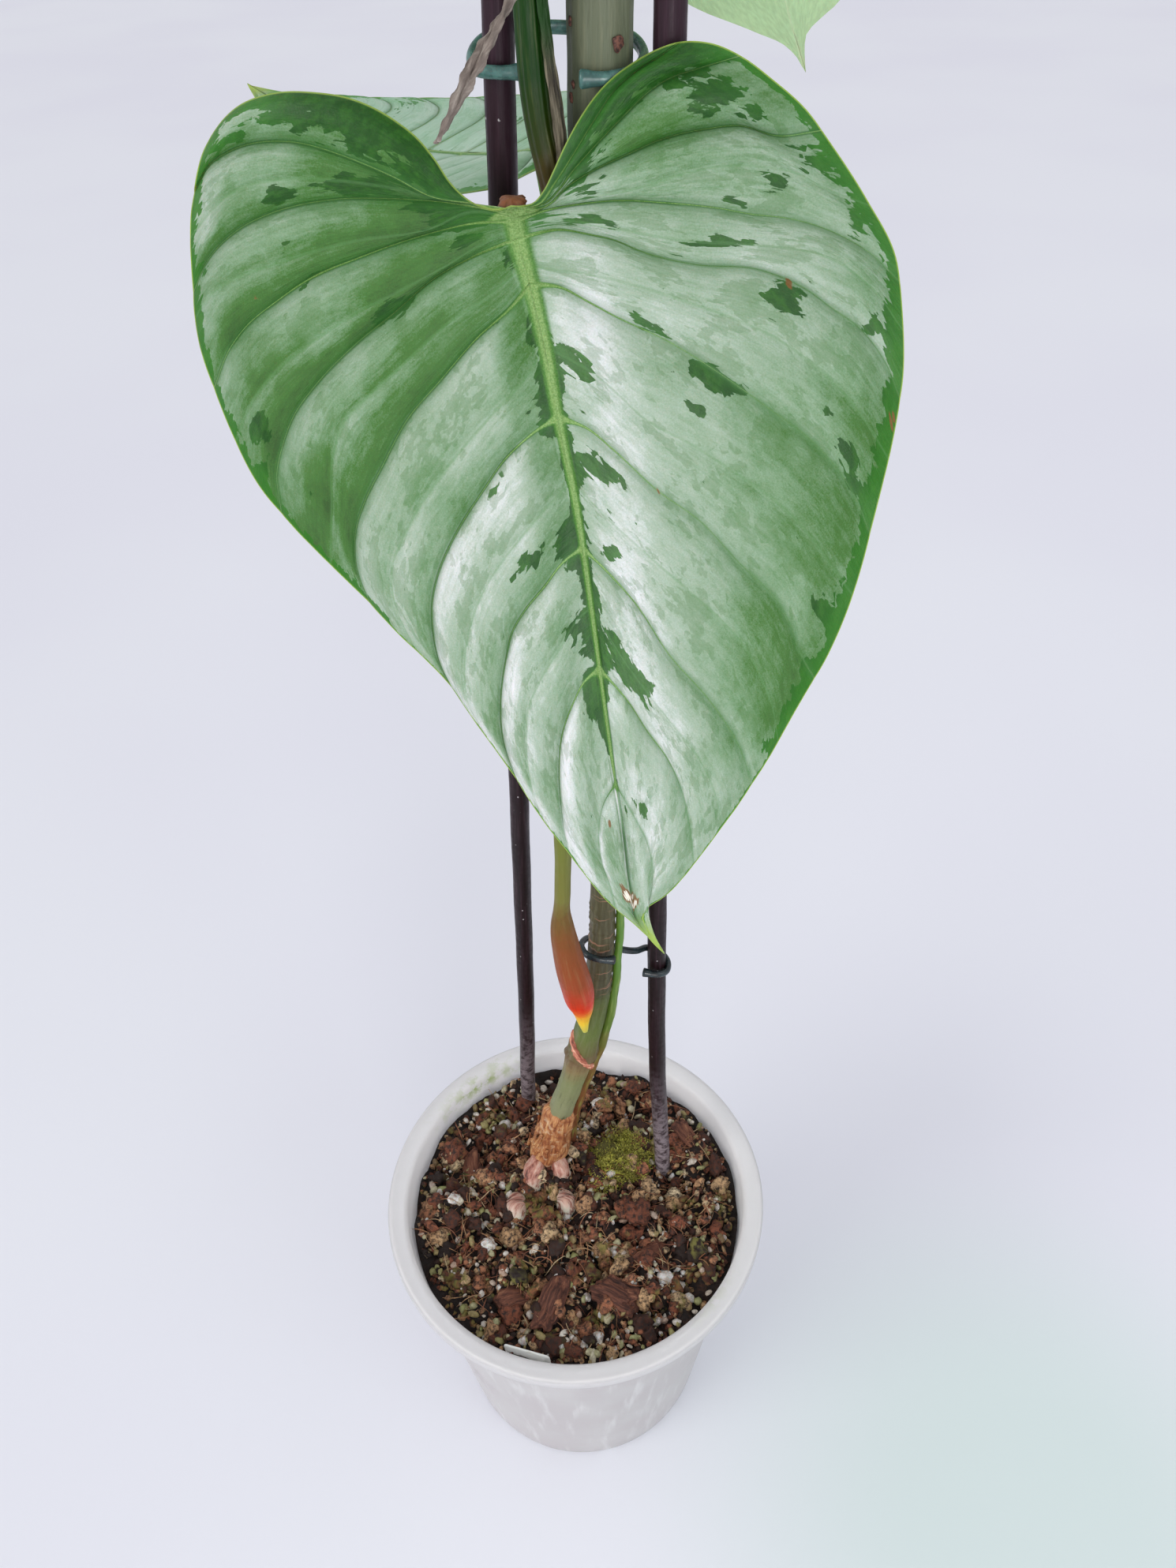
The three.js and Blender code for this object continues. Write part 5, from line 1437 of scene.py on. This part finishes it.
def blade(name, surface, root, tip, level, bend, outlines, midrib, starts, routes, rib_width, quilt,
          paint_blade):
    """A leaf blade as one closed mesh. bend is (arch, fold, fall left, fall right), quilt the
    height of the ridges as a share of their width (left half, right half) and the share of
    unevenness. paint_blade gives the values stored for the surface, from the positions and
    their halves."""
    root = np.array(root, dtype=float)
    span = np.array(tip, dtype=float) - root
    length = np.linalg.norm(span)
    along = span / length
    across = np.array(level, dtype=float)
    across = across - (across @ along) * along
    across /= np.linalg.norm(across)
    face = np.cross(along, across)
    arch, fold, fall_left, fall_right = bend
    midrib_line = flat_line(midrib, 1.5)
    corners, values, faces = [], {}, []
    offset = 0
    for half, (outline, half_routes) in enumerate(zip(outlines, routes)):
        grid = half_blade(outline, midrib, starts, half_routes)
        rows, columns = grid["share"].shape
        at = grid["at"].reshape(-1, 2)
        grid = {
            key: value.reshape(-1) if key not in ("at", "edge") else value for key, value in grid.items()}
        from_edge = distance_to(grid["edge"][::4], at)
        from_midrib = distance_to(midrib_line, at)
        rib_half = 0.2 + rib_width * np.exp(-np.maximum(at[:, 1], 0) / (0.24 * length))
        rib = from_midrib / rib_half + 3 * smooth_step(-at[:, 1], 0.5, 3)
        from_hub = np.abs(at[:, 0])
        from_arm = np.abs(at[:, 1] - 0.9 - 0.12 * from_hub) / (
            0.35 + rib_width * 0.5 * np.exp(-from_hub / 2.5))
        rib = np.minimum(rib, from_arm + 3 * smooth_step(from_hub, 1.5 * rib_width, 4.5 * rib_width))
        u, v = at[:, 0], at[:, 1]
        share = v / length
        sheet = 4 * arch * share * (1 - share) * np.where(share < 0, 0.4, 1) + fold * np.abs(u)
        sheet = sheet - u * u / (2 * np.where(u < 0, fall_left, fall_right))
        big = 1 - np.abs(2 * np.clip(grid["big_share"], 0, 1) ** 0.85 - 1) ** 2.2
        small = 1 - np.abs(2 * grid["share"] - 1) ** 2
        big_space = np.minimum(grid["big_space"], 13)
        relief = quilt[half] * (big_space * big + 0.5 * np.minimum(grid["space"], 8) * small)
        relief *= smooth_step(from_midrib - 0.8 * rib_half, 0, 8 - 3.5 * half) * (
            1 - 0.75 * smooth_step(grid["reach"], 0.82, 1))
        relief *= 1 - 0.5 * smooth_step(share, 0.55, 0.85) + 0.8 * half * smooth_step(-v, -6, 2)
        relief -= 0.5 * quilt[half] * big_space
        flat = np.stack([u, v, 0 * u + 50 * half], 1)
        relief += quilt[2] * (0.25 * lumps(flat, 9, 51) + 0.07 * lumps(flat, 2.5, 52))
        relief += quilt[2] * 0.45 * lumps(flat, 13, 53) * smooth_step(grid["reach"], 0.6, 1)
        relief += 0.35 * np.sqrt(np.clip(1 - rib ** 2, 0, 1)) - 0.1 * np.exp(-((rib - 1.4) / 0.4) ** 2)
        thickness = BLADE_THICKNESS * (0.45 + 0.55 * smooth_step(from_edge, 0, 2.5))
        spots = np.stack([u, v, relief], 1).reshape(rows, columns, 3)
        normals = np.cross(np.gradient(spots, axis=0), np.gradient(spots, axis=1)).reshape(-1, 3)
        normals /= np.maximum(np.linalg.norm(normals, axis=1)[:, None], 1e-9)
        normals *= np.sign(normals[:, 2:] + 1e-9)
        # How far each ridge's slope faces the light from the left, from -0.42 to 0.42. It paints light and
        # shade into the leaves' silver.
        grid["leaning"] = 0.42 * np.tanh(normals[:, :2] @ np.array([-0.93, -0.36]) / 0.42)
        own = paint_blade(at, half, grid, from_edge, rib)
        own["rib"] = np.minimum(rib, grid["near_main"] / (0.32 * np.exp(-from_midrib / 8) + 0.01))
        own["rib"] += 2 * smooth_step(share, 0.62, 0.76)
        own["margin"] = from_edge
        # Distance to the main veins, which sets the painted shade in their creases, made weaker on the
        # right half and towards the tip
        own["vein"] = grid["near_main"] + 0.25 * half * smooth_step(v, 0, 14) + 0.6 * smooth_step(
            share, 0.62, 0.85)
        own["vein"] = np.minimum(own["vein"], from_midrib + 3 - 2.9 * smooth_step(share, 0.62, 0.76))
        own["tip"] = smooth_step(share, 0.9, 0.98)
        own["side_vein"] = grid["near_small"]
        reach_mm = grid["reach"] * 50
        steps = np.repeat(np.arange(rows), columns) * (5.0 / BLADE_STEPS)
        own["grain"] = np.stack([steps, reach_mm, 0 * steps + 40 * half], 1)
        for under in (0, 1):
            height = sheet + relief - under * thickness
            corners.append(root + u[:, None] * across + v[:, None] * along + height[:, None] * face)
            own["under"] = np.full(len(u), float(under))
            for key, value in own.items():
                values.setdefault(key, []).append(np.array(value, dtype=float))
            number = offset + under * rows * columns + np.arange(rows * columns).reshape(rows, columns)
            quads = np.stack(
                [number[:-1, :-1], number[1:, :-1], number[1:, 1:], number[:-1, 1:]], 2).reshape(-1, 4)
            if (half == 0) != (under == 1):
                quads = quads[:, ::-1]
            faces.append(quads)
        upper = offset + np.arange(rows * columns).reshape(rows, columns)
        lower = upper + rows * columns
        for top_line, bottom_line, turned_over in (
                (upper[:, -1], lower[:, -1], half == 0), (upper[0, :], lower[0, :], half == 1)):
            rim = np.stack([top_line[:-1], bottom_line[:-1], bottom_line[1:], top_line[1:]], 1)
            faces.append(rim if turned_over else rim[:, ::-1])
        offset += 2 * rows * columns
    values = {key: np.concatenate(value) for key, value in values.items()}
    piece = add_mesh(name, np.vstack(corners), np.vstack(faces).tolist(), surface, 60, **values)
    maker = bmesh.new()
    maker.from_mesh(piece.data)
    bmesh.ops.remove_doubles(maker, verts=maker.verts, dist=1e-6)
    bmesh.ops.dissolve_degenerate(maker, edges=maker.edges, dist=1e-7)
    maker.to_mesh(piece.data)
    maker.free()
    return piece


def leaf_look(name, silver_and_painted_light, green, deep, under_colour):
    """A velvety blade. Its first colours are the (low, high) colour of the silvery parts, whose light end
    also serves as painted sheen; green is that of the thinly silvered ones, and deep the (inner, margin)
    colour of the dark patches."""
    surface = Surface(name)
    streaks = surface.streaks((3.6, 0.3, 1), 3, 0.6)
    threads = surface.streaks((1.3, 0.09, 1), 4, 0.6)
    mottle = surface.streaks((0.8, 0.45, 1), 5, 0.65)
    cloud = surface.streaks((0.14, 0.07, 1), 3, 0.5)
    cell = surface.cells(surface.place(), 2600)
    jags = surface.streaks((0.9, 0.2, 1), 4, 0.6)
    small_jags = surface.blocks(surface.grain((1.5, 0.5, 1)))
    # Silver, brighter where the air under the skin is thickest. The stored value also holds painted
    # light and shade: lighter on ridge flanks that face the light, and on the front leaf a broad painted
    # sheen right of the midrib; darker on flanks turned away.
    shine = surface.sway(surface.attribute("silver_and_painted_light"), cloud, 0.5)
    shine = surface.sway(shine, mottle, 0.3)
    shine = surface.sway(shine, threads, 0.3)
    shine = surface.sway(shine, streaks, 0.22)
    stipple = surface.clouds(3800, 2)
    shine = surface.sway(shine, stipple, 0.3)
    flake = surface.streaks((0.7, 0.16, 1), 4, 0.65)
    flake = surface.sway(flake, small_jags, 0.12)
    shine = surface.sway(shine, surface.fade(flake, 0.51, 0.535, 0.015, -0.035), 1, 0)
    middle = [0.5 * low + 0.48 * high for low, high in zip(*silver_and_painted_light)]
    colour = surface.bands(shine, [
        (-0.3, [0.75 * value for value in green]), (0, green), (0.26, silver_and_painted_light[0]), (0.64, middle),
        (1, silver_and_painted_light[1])])
    # Second, fainter silver layer with a jagged edge
    thin = surface.streaks((0.3, 0.11, 1), 4, 0.65)
    thin = surface.sway(thin, small_jags, 0.09)
    colour = surface.tint(colour, green, thin, 0.535, 0.56, 0, 0.3)
    # Dark green patches without silver, with jagged ends along the veins
    bias = surface.sway(surface.attribute("patch"), jags, 1.7)
    bias = surface.sway(bias, small_jags, 0.5)
    dark = surface.fade(bias, 0.49, 0.56)
    # Patches take a lighter green near the edge, partly as a painted highlight on ridges facing the light
    deep_share = surface.times(
        surface.fade(surface.attribute("margin"), 0.5, 7, 1, 0), surface.attribute("margin_green_and_painted_light"))
    dark_colour = surface.mix(deep_share, deep[0], deep[1])
    # Patches turn a lighter green where the silver value is high, so they share its painted sheen
    dark_colour = surface.tint(dark_colour, (92, 148, 66), shine, 0.3, 1.1, 0, 0.4)
    dark_colour = surface.tint(dark_colour, (64, 130, 30), mottle, 0.4, 0.7, 0, 0.3)
    colour = surface.mix(surface.times(dark, 0.93), colour, dark_colour)
    # Creases of the main veins: painted shade darkens the surface towards each crease, and the vein itself
    # is a thin pale line. The side veins are a mid green.
    vein = surface.attribute("vein")
    colour = surface.tint(colour, (54, 108, 44), vein, 0.2, 2, 0.4, 0)
    colour = surface.tint(colour, (24, 78, 18), vein, 0.12, 0.45, 0.8, 0)
    colour = surface.tint(colour, (126, 164, 92), vein, 0.03, 0.12, 0.4, 0)
    colour = surface.tint(colour, (92, 138, 84), surface.attribute("side_vein"), 0.05, 0.4, 0.3, 0)
    # Margin and midrib
    rib = surface.attribute("rib")
    rib_core = surface.tint((106, 144, 74), (140, 172, 104), stipple, 0.3, 0.7)
    rib_side = surface.tint((62, 112, 38), (84, 134, 54), stipple, 0.3, 0.7)
    rib_colour = surface.tint(rib_core, rib_side, rib, 0.35, 1)
    colour = surface.tint(colour, rib_colour, rib, 0.85, 1.5, 0.95, 0)
    colour = surface.tint(colour, (160, 186, 84), surface.attribute("margin"), 0.08, 0.26, 0.7, 0)
    colour = surface.mix(surface.attribute("tip"), colour, (158, 184, 84))
    # Scars: brown specks, and white torn edges
    scar = surface.attribute("scar")
    colour = surface.tint(colour, (122, 82, 44), scar, 0.3, 0.6, 0, 0.9)
    colour = surface.tint(colour, (232, 228, 214), scar, 1.2, 1.5)
    # Underside, matt and pale
    pale = surface.tint(under_colour, [value * 0.92 for value in under_colour], streaks, 0.3, 0.7)
    pale = surface.tint(pale, (206, 218, 180), vein, 0.2, 0.6, 0.6, 0)
    pale = surface.tint(pale, (196, 206, 150), rib, 0.8, 1.3, 0.9, 0)
    under = surface.fade(surface.attribute("under"), 0.45, 0.55)
    surface.set(
        base_color=surface.mix(under, colour, pale),
        roughness=surface.sway(surface.fade(mottle, 0.3, 0.7, 0.4, 0.52), under, 0.2, 0),
        specular_ior_level=0.27, subsurface_weight=0.08, subsurface_scale=0.0012,
        normal=surface.bump(streaks, 0.07, surface.bump(cell, 0.025, surface.bump(threads, 0.16))))
    return surface


# Dark patches as (across, along, half-length along the veins, half-width, strength)
FRONT_PATCHES = [
    (-22.6, -6.6, 6.5, 1.7, 1.2), (-35.7, -7.5, 3.4, 1.1, 1.2), (-41.4, -16.1, 4, 1.3, 0.8),
    (-8, 3.2, 3.4, 0.9, 1), (-1.9, 6.9, 1.5, 1.8, 1), (-21.8, 10.8, 4.2, 1.4, 1.1),
    (-34, 4.9, 3.2, 0.6, 0.7), (-54.5, 1.6, 1.8, 1.5, 1), (-50.3, 25.5, 3, 1.9, 1.2),
    (-53.1, 33.3, 2.4, 1.1, 1.2), (-12.8, 41.1, 4, 1, 0.6), (-9, 53.4, 4.2, 1.6, 0.9),
    (5.5, 40.1, 5, 1.8, 1.2), (5.4, 54.8, 1.9, 1.1, 1.1), (4.3, 75.5, 8, 1.9, 1.2),
    (4.9, 23.4, 4.2, 1.7, 0.9), (2.1, 108, 3.6, 1, 0.8), (16.7, 20.4, 3.6, 0.8, 0.9),
    (26.8, 30.3, 4.8, 1.6, 1.1), (23.8, 33.8, 2.4, 1, 0.8), (39, 20.4, 3.4, 2.3, 1.1),
    (30.2, 11.3, 5.2, 0.9, 1), (10.1, 4, 4.8, 0.9, 0.8), (33.1, 6.6, 3.1, 0.7, 0.7),
    (32.8, -8.3, 5, 2.4, 1), (37.6, -4.5, 2, 1.1, 0.9), (39, 4, 2.8, 1, 0.8), (48.2, 3.1, 5, 2.4, 0.8),
    (53.3, 27.9, 2, 1.6, 1.2), (44.9, 39.5, 1.1, 0.9, 0.8), (46.9, 46.8, 3.4, 1.2, 1.1),
    (48.4, 53.8, 4.6, 1.3, 1.2), (40.9, 73.7, 4.2, 1.5, 1.3), (37.3, 86.6, 4.2, 2, 1.1)]
# How far the dark strip beside the midrib reaches, as (along, reach) for the left and right half
FRONT_MIDRIB_STRIPS = [
    [
        (14, 0.3), (18, 2.6), (22, 1), (24, 2), (29, 3.4), (33.5, 3), (34.6, 0.4), (47, 0.5), (51, 5.4),
        (56, 3.6), (58, 0.8), (63, 1), (66.5, 5.2), (72, 3.2), (74, 0.8), (77, 2.8), (82, 4), (87, 2),
        (90, 1.2), (96, 0.2)],
    [
        (6, 0.3), (20, 0.8), (24, 3.6), (28, 0.8), (36, 1.6), (41, 3), (44, 1), (58, 1.3), (68, 1),
        (72, 2.8), (78, 1.6), (84, 0.3)]]
# Where there is more silver, or less, as (across, along, half-width, half-length, difference).
# The places a few mm right of the midrib are a painted sheen.
FRONT_SILVER_AND_PAINTED_LIGHT = [
    [
        (-14, -1, 27, 14, -0.18), (-36, 14, 26, 22, -0.1), (-22, 52, 15, 24, 0.2), (-10, 46, 6, 9, 0.15),
        (-18, 92, 8, 20, 0.25), (-5, 110, 10, 30, 0.3), (-3, 72, 7, 20, 0.3), (-50, 38, 8, 14, -0.25),
        (-18, 12, 9, 8, -0.2), (-13, -7, 11, 10, -0.25), (-8, 35, 6, 12, 0.2), (-22, 23, 10, 8, -0.1),
        (-27, 64, 12, 18, 0.12), (-16, 102, 8, 14, 0.12), (-36, 37, 8, 8, -0.25), (-51, 17, 7, 14, -0.2),
        (-46, 48, 8, 8, -0.2), (-10, 128, 8, 14, 0.15), (-34, 12, 7, 5, 0.15)],
    [
        (9, 20, 6, 15, 0.4), (9, 46, 6, 16, 0.3), (8, 70, 6, 16, 0.4), (4, 112, 12, 26, 0.3),
        (13, 88, 9, 14, 0.1), (30, 18, 22, 12, 0.2), (20, 38, 10, 10, 0.15), (55, 35, 5, 8, 0.25),
        (37, 39, 11, 8, -0.12), (52, 58, 10, 30, -0.25), (33, 76, 14, 30, -0.3), (27, 60, 7, 9, 0.25),
        (22, -9, 15, 6, -0.4)]]
# Specks and the tear near the tip, as (across, along, half-size, strength)
FRONT_SCARS = [
    (40.2, 18.4, 0.5, 1), (14.8, 45.6, 0.3, 1), (-4.9, 110.6, 0.4, 1), (-12.6, 101.7, 0.3, 0.9),
    (55.1, 43, 0.4, 1), (-46.1, 15.5, 0.3, 0.9), (-43.7, 6.1, 0.4, 0.8), (54, 44.1, 0.3, 1),
    (-5.8, 127.4, 0.35, 1), (-5.5, 128.6, 0.5, 1.1), (-5.2, 129.8, 0.5, 2.2), (-4.7, 131.1, 0.5, 2.2),
    (-4.3, 132.3, 0.35, 1.3), (-3.9, 133.4, 0.5, 2.2), (-3.6, 134.6, 0.3, 1)]


def front_values(at, half, grid, from_edge, rib):
    """Dark patches and silvering of the front leaf, as on the real one, with painted light and shade."""
    rows = len(at) // BLADE_SAMPLES
    lines = at.reshape(rows, BLADE_SAMPLES, 2)
    ways = np.gradient(lines, axis=1).reshape(-1, 2)
    ways /= np.maximum(np.linalg.norm(ways, axis=1)[:, None], 1e-9)
    patch = np.zeros(len(at))
    flat = np.stack([at[:, 0], at[:, 1], 0 * at[:, 0] + half * 30], 1)
    warped = at + 0.9 * np.stack([lumps(flat, 3, 62), lumps(flat, 3, 63)], 1)
    for across, along, half_length, half_width, strength in FRONT_PATCHES:
        if (across > 0) != (half == 1):
            continue
        away = warped - np.array([across, along])
        way = ways[np.argmin(np.linalg.norm(away, axis=1))]
        down = away @ way
        aside = away @ np.array([-way[1], way[0]])
        size = np.sqrt((down / half_length) ** 2 + (aside / half_width) ** 2)
        patch = np.maximum(patch, strength * np.clip(1.35 - 0.9 * size, 0, 1))
    strip = np.array(FRONT_MIDRIB_STRIPS[half])
    reach = np.interp(at[:, 1], strip[:, 0], strip[:, 1], 0, 0)
    from_rib = np.abs(at[:, 0] - np.interp(at[:, 1], [0, 20, 60, 95, 150], [0, 1, 0.5, -1.7, 0]))
    patch = np.maximum(patch, np.clip(1.4 - from_rib / np.maximum(reach + 0.4, 0.3), 0, 1) * (reach > 0))
    wander = lumps(np.stack([at[:, 0], at[:, 1], 0 * at[:, 0] + half * 30], 1), 7, 61)
    u, v = at[:, 0], at[:, 1]
    if half == 0:
        width = np.where(v < 2, 1.2 + 8 * smooth_step(u, -40, -22) * smooth_step(-u, 3, 7), 1.6)
        width = np.where(v > 62, 0.3, width)
    else:
        width = np.where(v > 100, 0.3, 3.3)
        width = np.where(v < 2, 1.6 + 3.8 * smooth_step(u, 7, 12) * smooth_step(-u, -34, -28), width)
    width = width * (1 + 0.5 * wander)
    patch = np.maximum(patch, np.clip(1.35 - from_edge / np.maximum(width, 0.15), 0, 1.3))
    # Painted light and shade: lighter on ridge flanks facing the light, darker on those turned away, and
    # the listed places add a painted sheen right of the midrib.
    silver_and_painted_light = (0.3 if half == 0 else 0.38) + 0.08 * wander + (0.75 if half == 0 else 0.45) * grid["leaning"]
    for across, along, half_width, half_length, difference in FRONT_SILVER_AND_PAINTED_LIGHT[half]:
        away = ((at[:, 0] - across) / half_width) ** 2 + ((at[:, 1] - along) / half_length) ** 2
        silver_and_painted_light = silver_and_painted_light + difference * np.exp(-away)
    scar = np.zeros(len(at))
    for across, along, half_size, strength in FRONT_SCARS:
        size = np.hypot(warped[:, 0] - across, 0.7 * (warped[:, 1] - along)) / half_size
        scar = np.maximum(scar, strength * np.clip(1.6 - size, 0, 1))
    # Patches take the lighter margin green near the edge, but less near the gap between the lobes; on the
    # right half it is also a painted highlight on ridge flanks facing the light.
    margin_green_and_painted_light = 1 - smooth_step(36 - np.abs(u), 0, 8) * smooth_step(4 - v, 0, 6)
    margin_green_and_painted_light = np.maximum(margin_green_and_painted_light, smooth_step(grid["leaning"] * half, 0.2, 0.5))
    return {"patch": patch, "silver_and_painted_light": silver_and_painted_light, "scar": scar, "margin_green_and_painted_light": margin_green_and_painted_light}


front_look = leaf_look(
    "silver_leaf_front", ((112, 145, 108), (218, 220, 222)), (66, 112, 48), ((18, 68, 8), (36, 104, 12)),
    (165, 196, 154))
front_leaf = blade(
    "leaf_front_blade", front_look, (-0.6, -5.1, 402.1), (23.7, -29.8, 255.8), (0.986, 0, 0.164),
    (8, 0, 120, 220), (FRONT_LEFT_OUTLINE, FRONT_RIGHT_OUTLINE), FRONT_MIDRIB, FRONT_STARTS,
    (FRONT_LEFT_ROUTES, FRONT_RIGHT_ROUTES), 1.6, (0.125, 0.09, 1), front_values)
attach(front_leaf, "root")
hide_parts("leaf_front")

# Back leaf
# A younger, paler blade that lies level behind the stem. Only a part of it shows between the
# front leaf's lobes. Its halves rise a little from the midrib.
BACK_HALF_OUTLINE = [
    (0, 0), (2, -2), (5.7, -9.9), (13.1, -16.5), (20.5, -17.6), (27.1, -10.5), (32, 3.3), (34, 19.8),
    (32.8, 38), (28.7, 56), (22.5, 76), (15.2, 95.7), (8.6, 112.8), (3.6, 124.3), (1.5, 131), (0, 136)]
BACK_LENGTH = 136


def even_veins(outline, length, count):
    """Starts on the midrib and routes to the margin for veins spread evenly over a half blade."""
    edge = flat_line(outline, 0.25)
    side = 1 if edge[len(edge) // 3, 0] > 0 else -1
    starts = [0]
    routes = [([tuple(edge[int(0.1 * len(edge))])], True)]
    for number in range(count):
        share = number / (count - 1)
        start = length * (0.006 + 0.012 * number + 0.62 * share ** 1.7)
        end = edge[int((0.15 + 0.74 * share ** 0.85) * (len(edge) - 1))]
        points = []
        for part in (0.25, 0.45, 0.65, 0.82, 1):
            bow = 4 * part * (1 - part) * (0.05 + 0.1 * share) * length
            across = end[0] * part + side * bow * 0.35
            along = start + (end[1] - start) * part - bow * 0.45
            points.append((across, along))
        starts.append(start)
        routes.append((points, number % 2 == 0))
    starts.append(length * 0.84)
    routes.append(([(0, length * 0.9), (0, length)], True))
    return starts, routes


def mirrored(points):
    """The same line on the other side of the midrib."""
    return [(-across, along) for across, along in points]


def plain_values(at, half, grid, from_edge, rib):
    """Patches and silvering for a leaf whose own pattern isn't seen, with painted light and shade."""
    flat = np.stack([at[:, 0], at[:, 1], 0 * at[:, 0] + half * 30], 1)
    patch = 1.1 * lumps(flat * [1, 0.8, 1], 9, 71) - 0.5
    patch = np.maximum(patch, np.clip(1.3 - from_edge / (1.8 + lumps(flat, 9, 73)), 0, 1))
    # Painted light and shade on the ridge flanks by how they face the light, turned round on the right
    # half.
    silver_and_painted_light = 0.42 + 0.16 * lumps(flat, 16, 72) + 0.5 * grid["leaning"] * (1 if half == 0 else -1)
    return {"patch": patch, "silver_and_painted_light": silver_and_painted_light, "scar": 0 * patch, "margin_green_and_painted_light": 0 * patch + 1}


back_starts, back_right_routes = even_veins(BACK_HALF_OUTLINE, BACK_LENGTH, 15)
_, back_left_routes = even_veins(mirrored(BACK_HALF_OUTLINE), BACK_LENGTH, 15)
back_look = leaf_look(
    "silver_leaf_back", ((150, 188, 158), (214, 228, 218)), (120, 168, 124),
    ((56, 118, 58), (80, 146, 66)), (165, 196, 154))
back_leaf = blade(
    "leaf_back_blade", back_look, (3.5, 48, 397), (-75.3, 158.4, 388.1), (-0.801, -0.583, -0.139),
    (-6.2, 0.1, 500, 230), (mirrored(BACK_HALF_OUTLINE), BACK_HALF_OUTLINE),
    [(0, 0), (0, 60), (0, BACK_LENGTH)], back_starts, (back_left_routes, back_right_routes), 1,
    (0.05, 0.05, 0.4), plain_values)
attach(back_leaf, "root")
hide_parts("leaf_back")

# Upper leaf
# The leaf on the upper stalk hangs down behind the stem with its tip at the right. Its pale matt
# underside with raised veins faces the front.
UPPER_LEFT_OUTLINE = [
    (0, 0), (-2.6, -1.8), (-8, -9), (-18, -14.5), (-28, -15), (-37, -9), (-44, 4), (-46.5, 18), (-45, 34),
    (-40, 54), (-33, 74), (-26, 92), (-19, 107), (-13.5, 116), (-8.8, 120.4), (-5.5, 121.7),
    (-2.2, 123.5), (-1.1, 126.3), (-0.3, 130)]
UPPER_RIGHT_OUTLINE = [
    (0, 0), (2.6, -1.8), (8, -9), (18, -14.5), (28, -15), (37, -9), (44, 4), (46.5, 18), (46, 34),
    (43, 52), (37.5, 72), (31, 90), (24.5, 102), (17, 111.5), (11.5, 116.4), (6.5, 120.4), (2.1, 124.1),
    (0.5, 126.8), (-0.3, 130)]
UPPER_LENGTH = 130
upper_starts, upper_right_routes = even_veins(UPPER_RIGHT_OUTLINE, UPPER_LENGTH, 15)
_, upper_left_routes = even_veins(UPPER_LEFT_OUTLINE, UPPER_LENGTH, 15)
upper_look = leaf_look(
    "silver_leaf_upper", ((130, 168, 124), (206, 220, 210)), (100, 148, 88),
    ((44, 98, 44), (66, 130, 48)), (176, 206, 160))
upper_leaf = blade(
    "leaf_upper_blade", upper_look, (1, 27, 516), (54.3, 66.7, 405.7), (-0.9, 0.29, -0.33),
    (8, 0, 200, 200), (UPPER_LEFT_OUTLINE, UPPER_RIGHT_OUTLINE), [(0, 0), (0, 60), (-0.3, UPPER_LENGTH)],
    upper_starts, (upper_left_routes, upper_right_routes), 1.2, (0.085, 0.085, 0.7), plain_values)
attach(upper_leaf, "root")
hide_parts("leaf_upper")

# Dried sheath
# The withered remains of a bud sheath, thin and shrivelled, that hang from the stem's top to the
# front left.
DRIED_SHEATH = [
    (12.2, 1.2, 447, 0.8), (8, -7, 442, 0.8), (2.3, -19.5, 431.5, 0.65), (-3, -30, 425, 0.6),
    (-7.5, -39, 419, 0.35)]


def shrivelled_shape(along, around, height):
    """Flattened, twisted and crumpled."""
    twist = around + along * 0.16
    return 0.35 * np.cos(2 * twist) + 0.16 * np.sin(5 * twist + along) + 0.12 * np.sin(along * 1.9)


dried_look = Surface("dried_sheath_skin")
dried_streaks = dried_look.streaks((1.6, 1.6, 0.2), 5, 0.65)
dried_look.set(
    base_color=dried_look.bands(
        dried_streaks, [(0.3, (84, 72, 66)), (0.5, (124, 112, 104)), (0.72, (170, 160, 150))]),
    roughness=0.75, normal=dried_look.bump(dried_streaks, 0.3))
dried_sheath = limb(
    "dried_sheath_wisp", DRIED_SHEATH, dried_look, 24, 0.4, facing=(1, 0, 0), shape=shrivelled_shape)
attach(dried_sheath, "root")
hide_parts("dried_sheath")
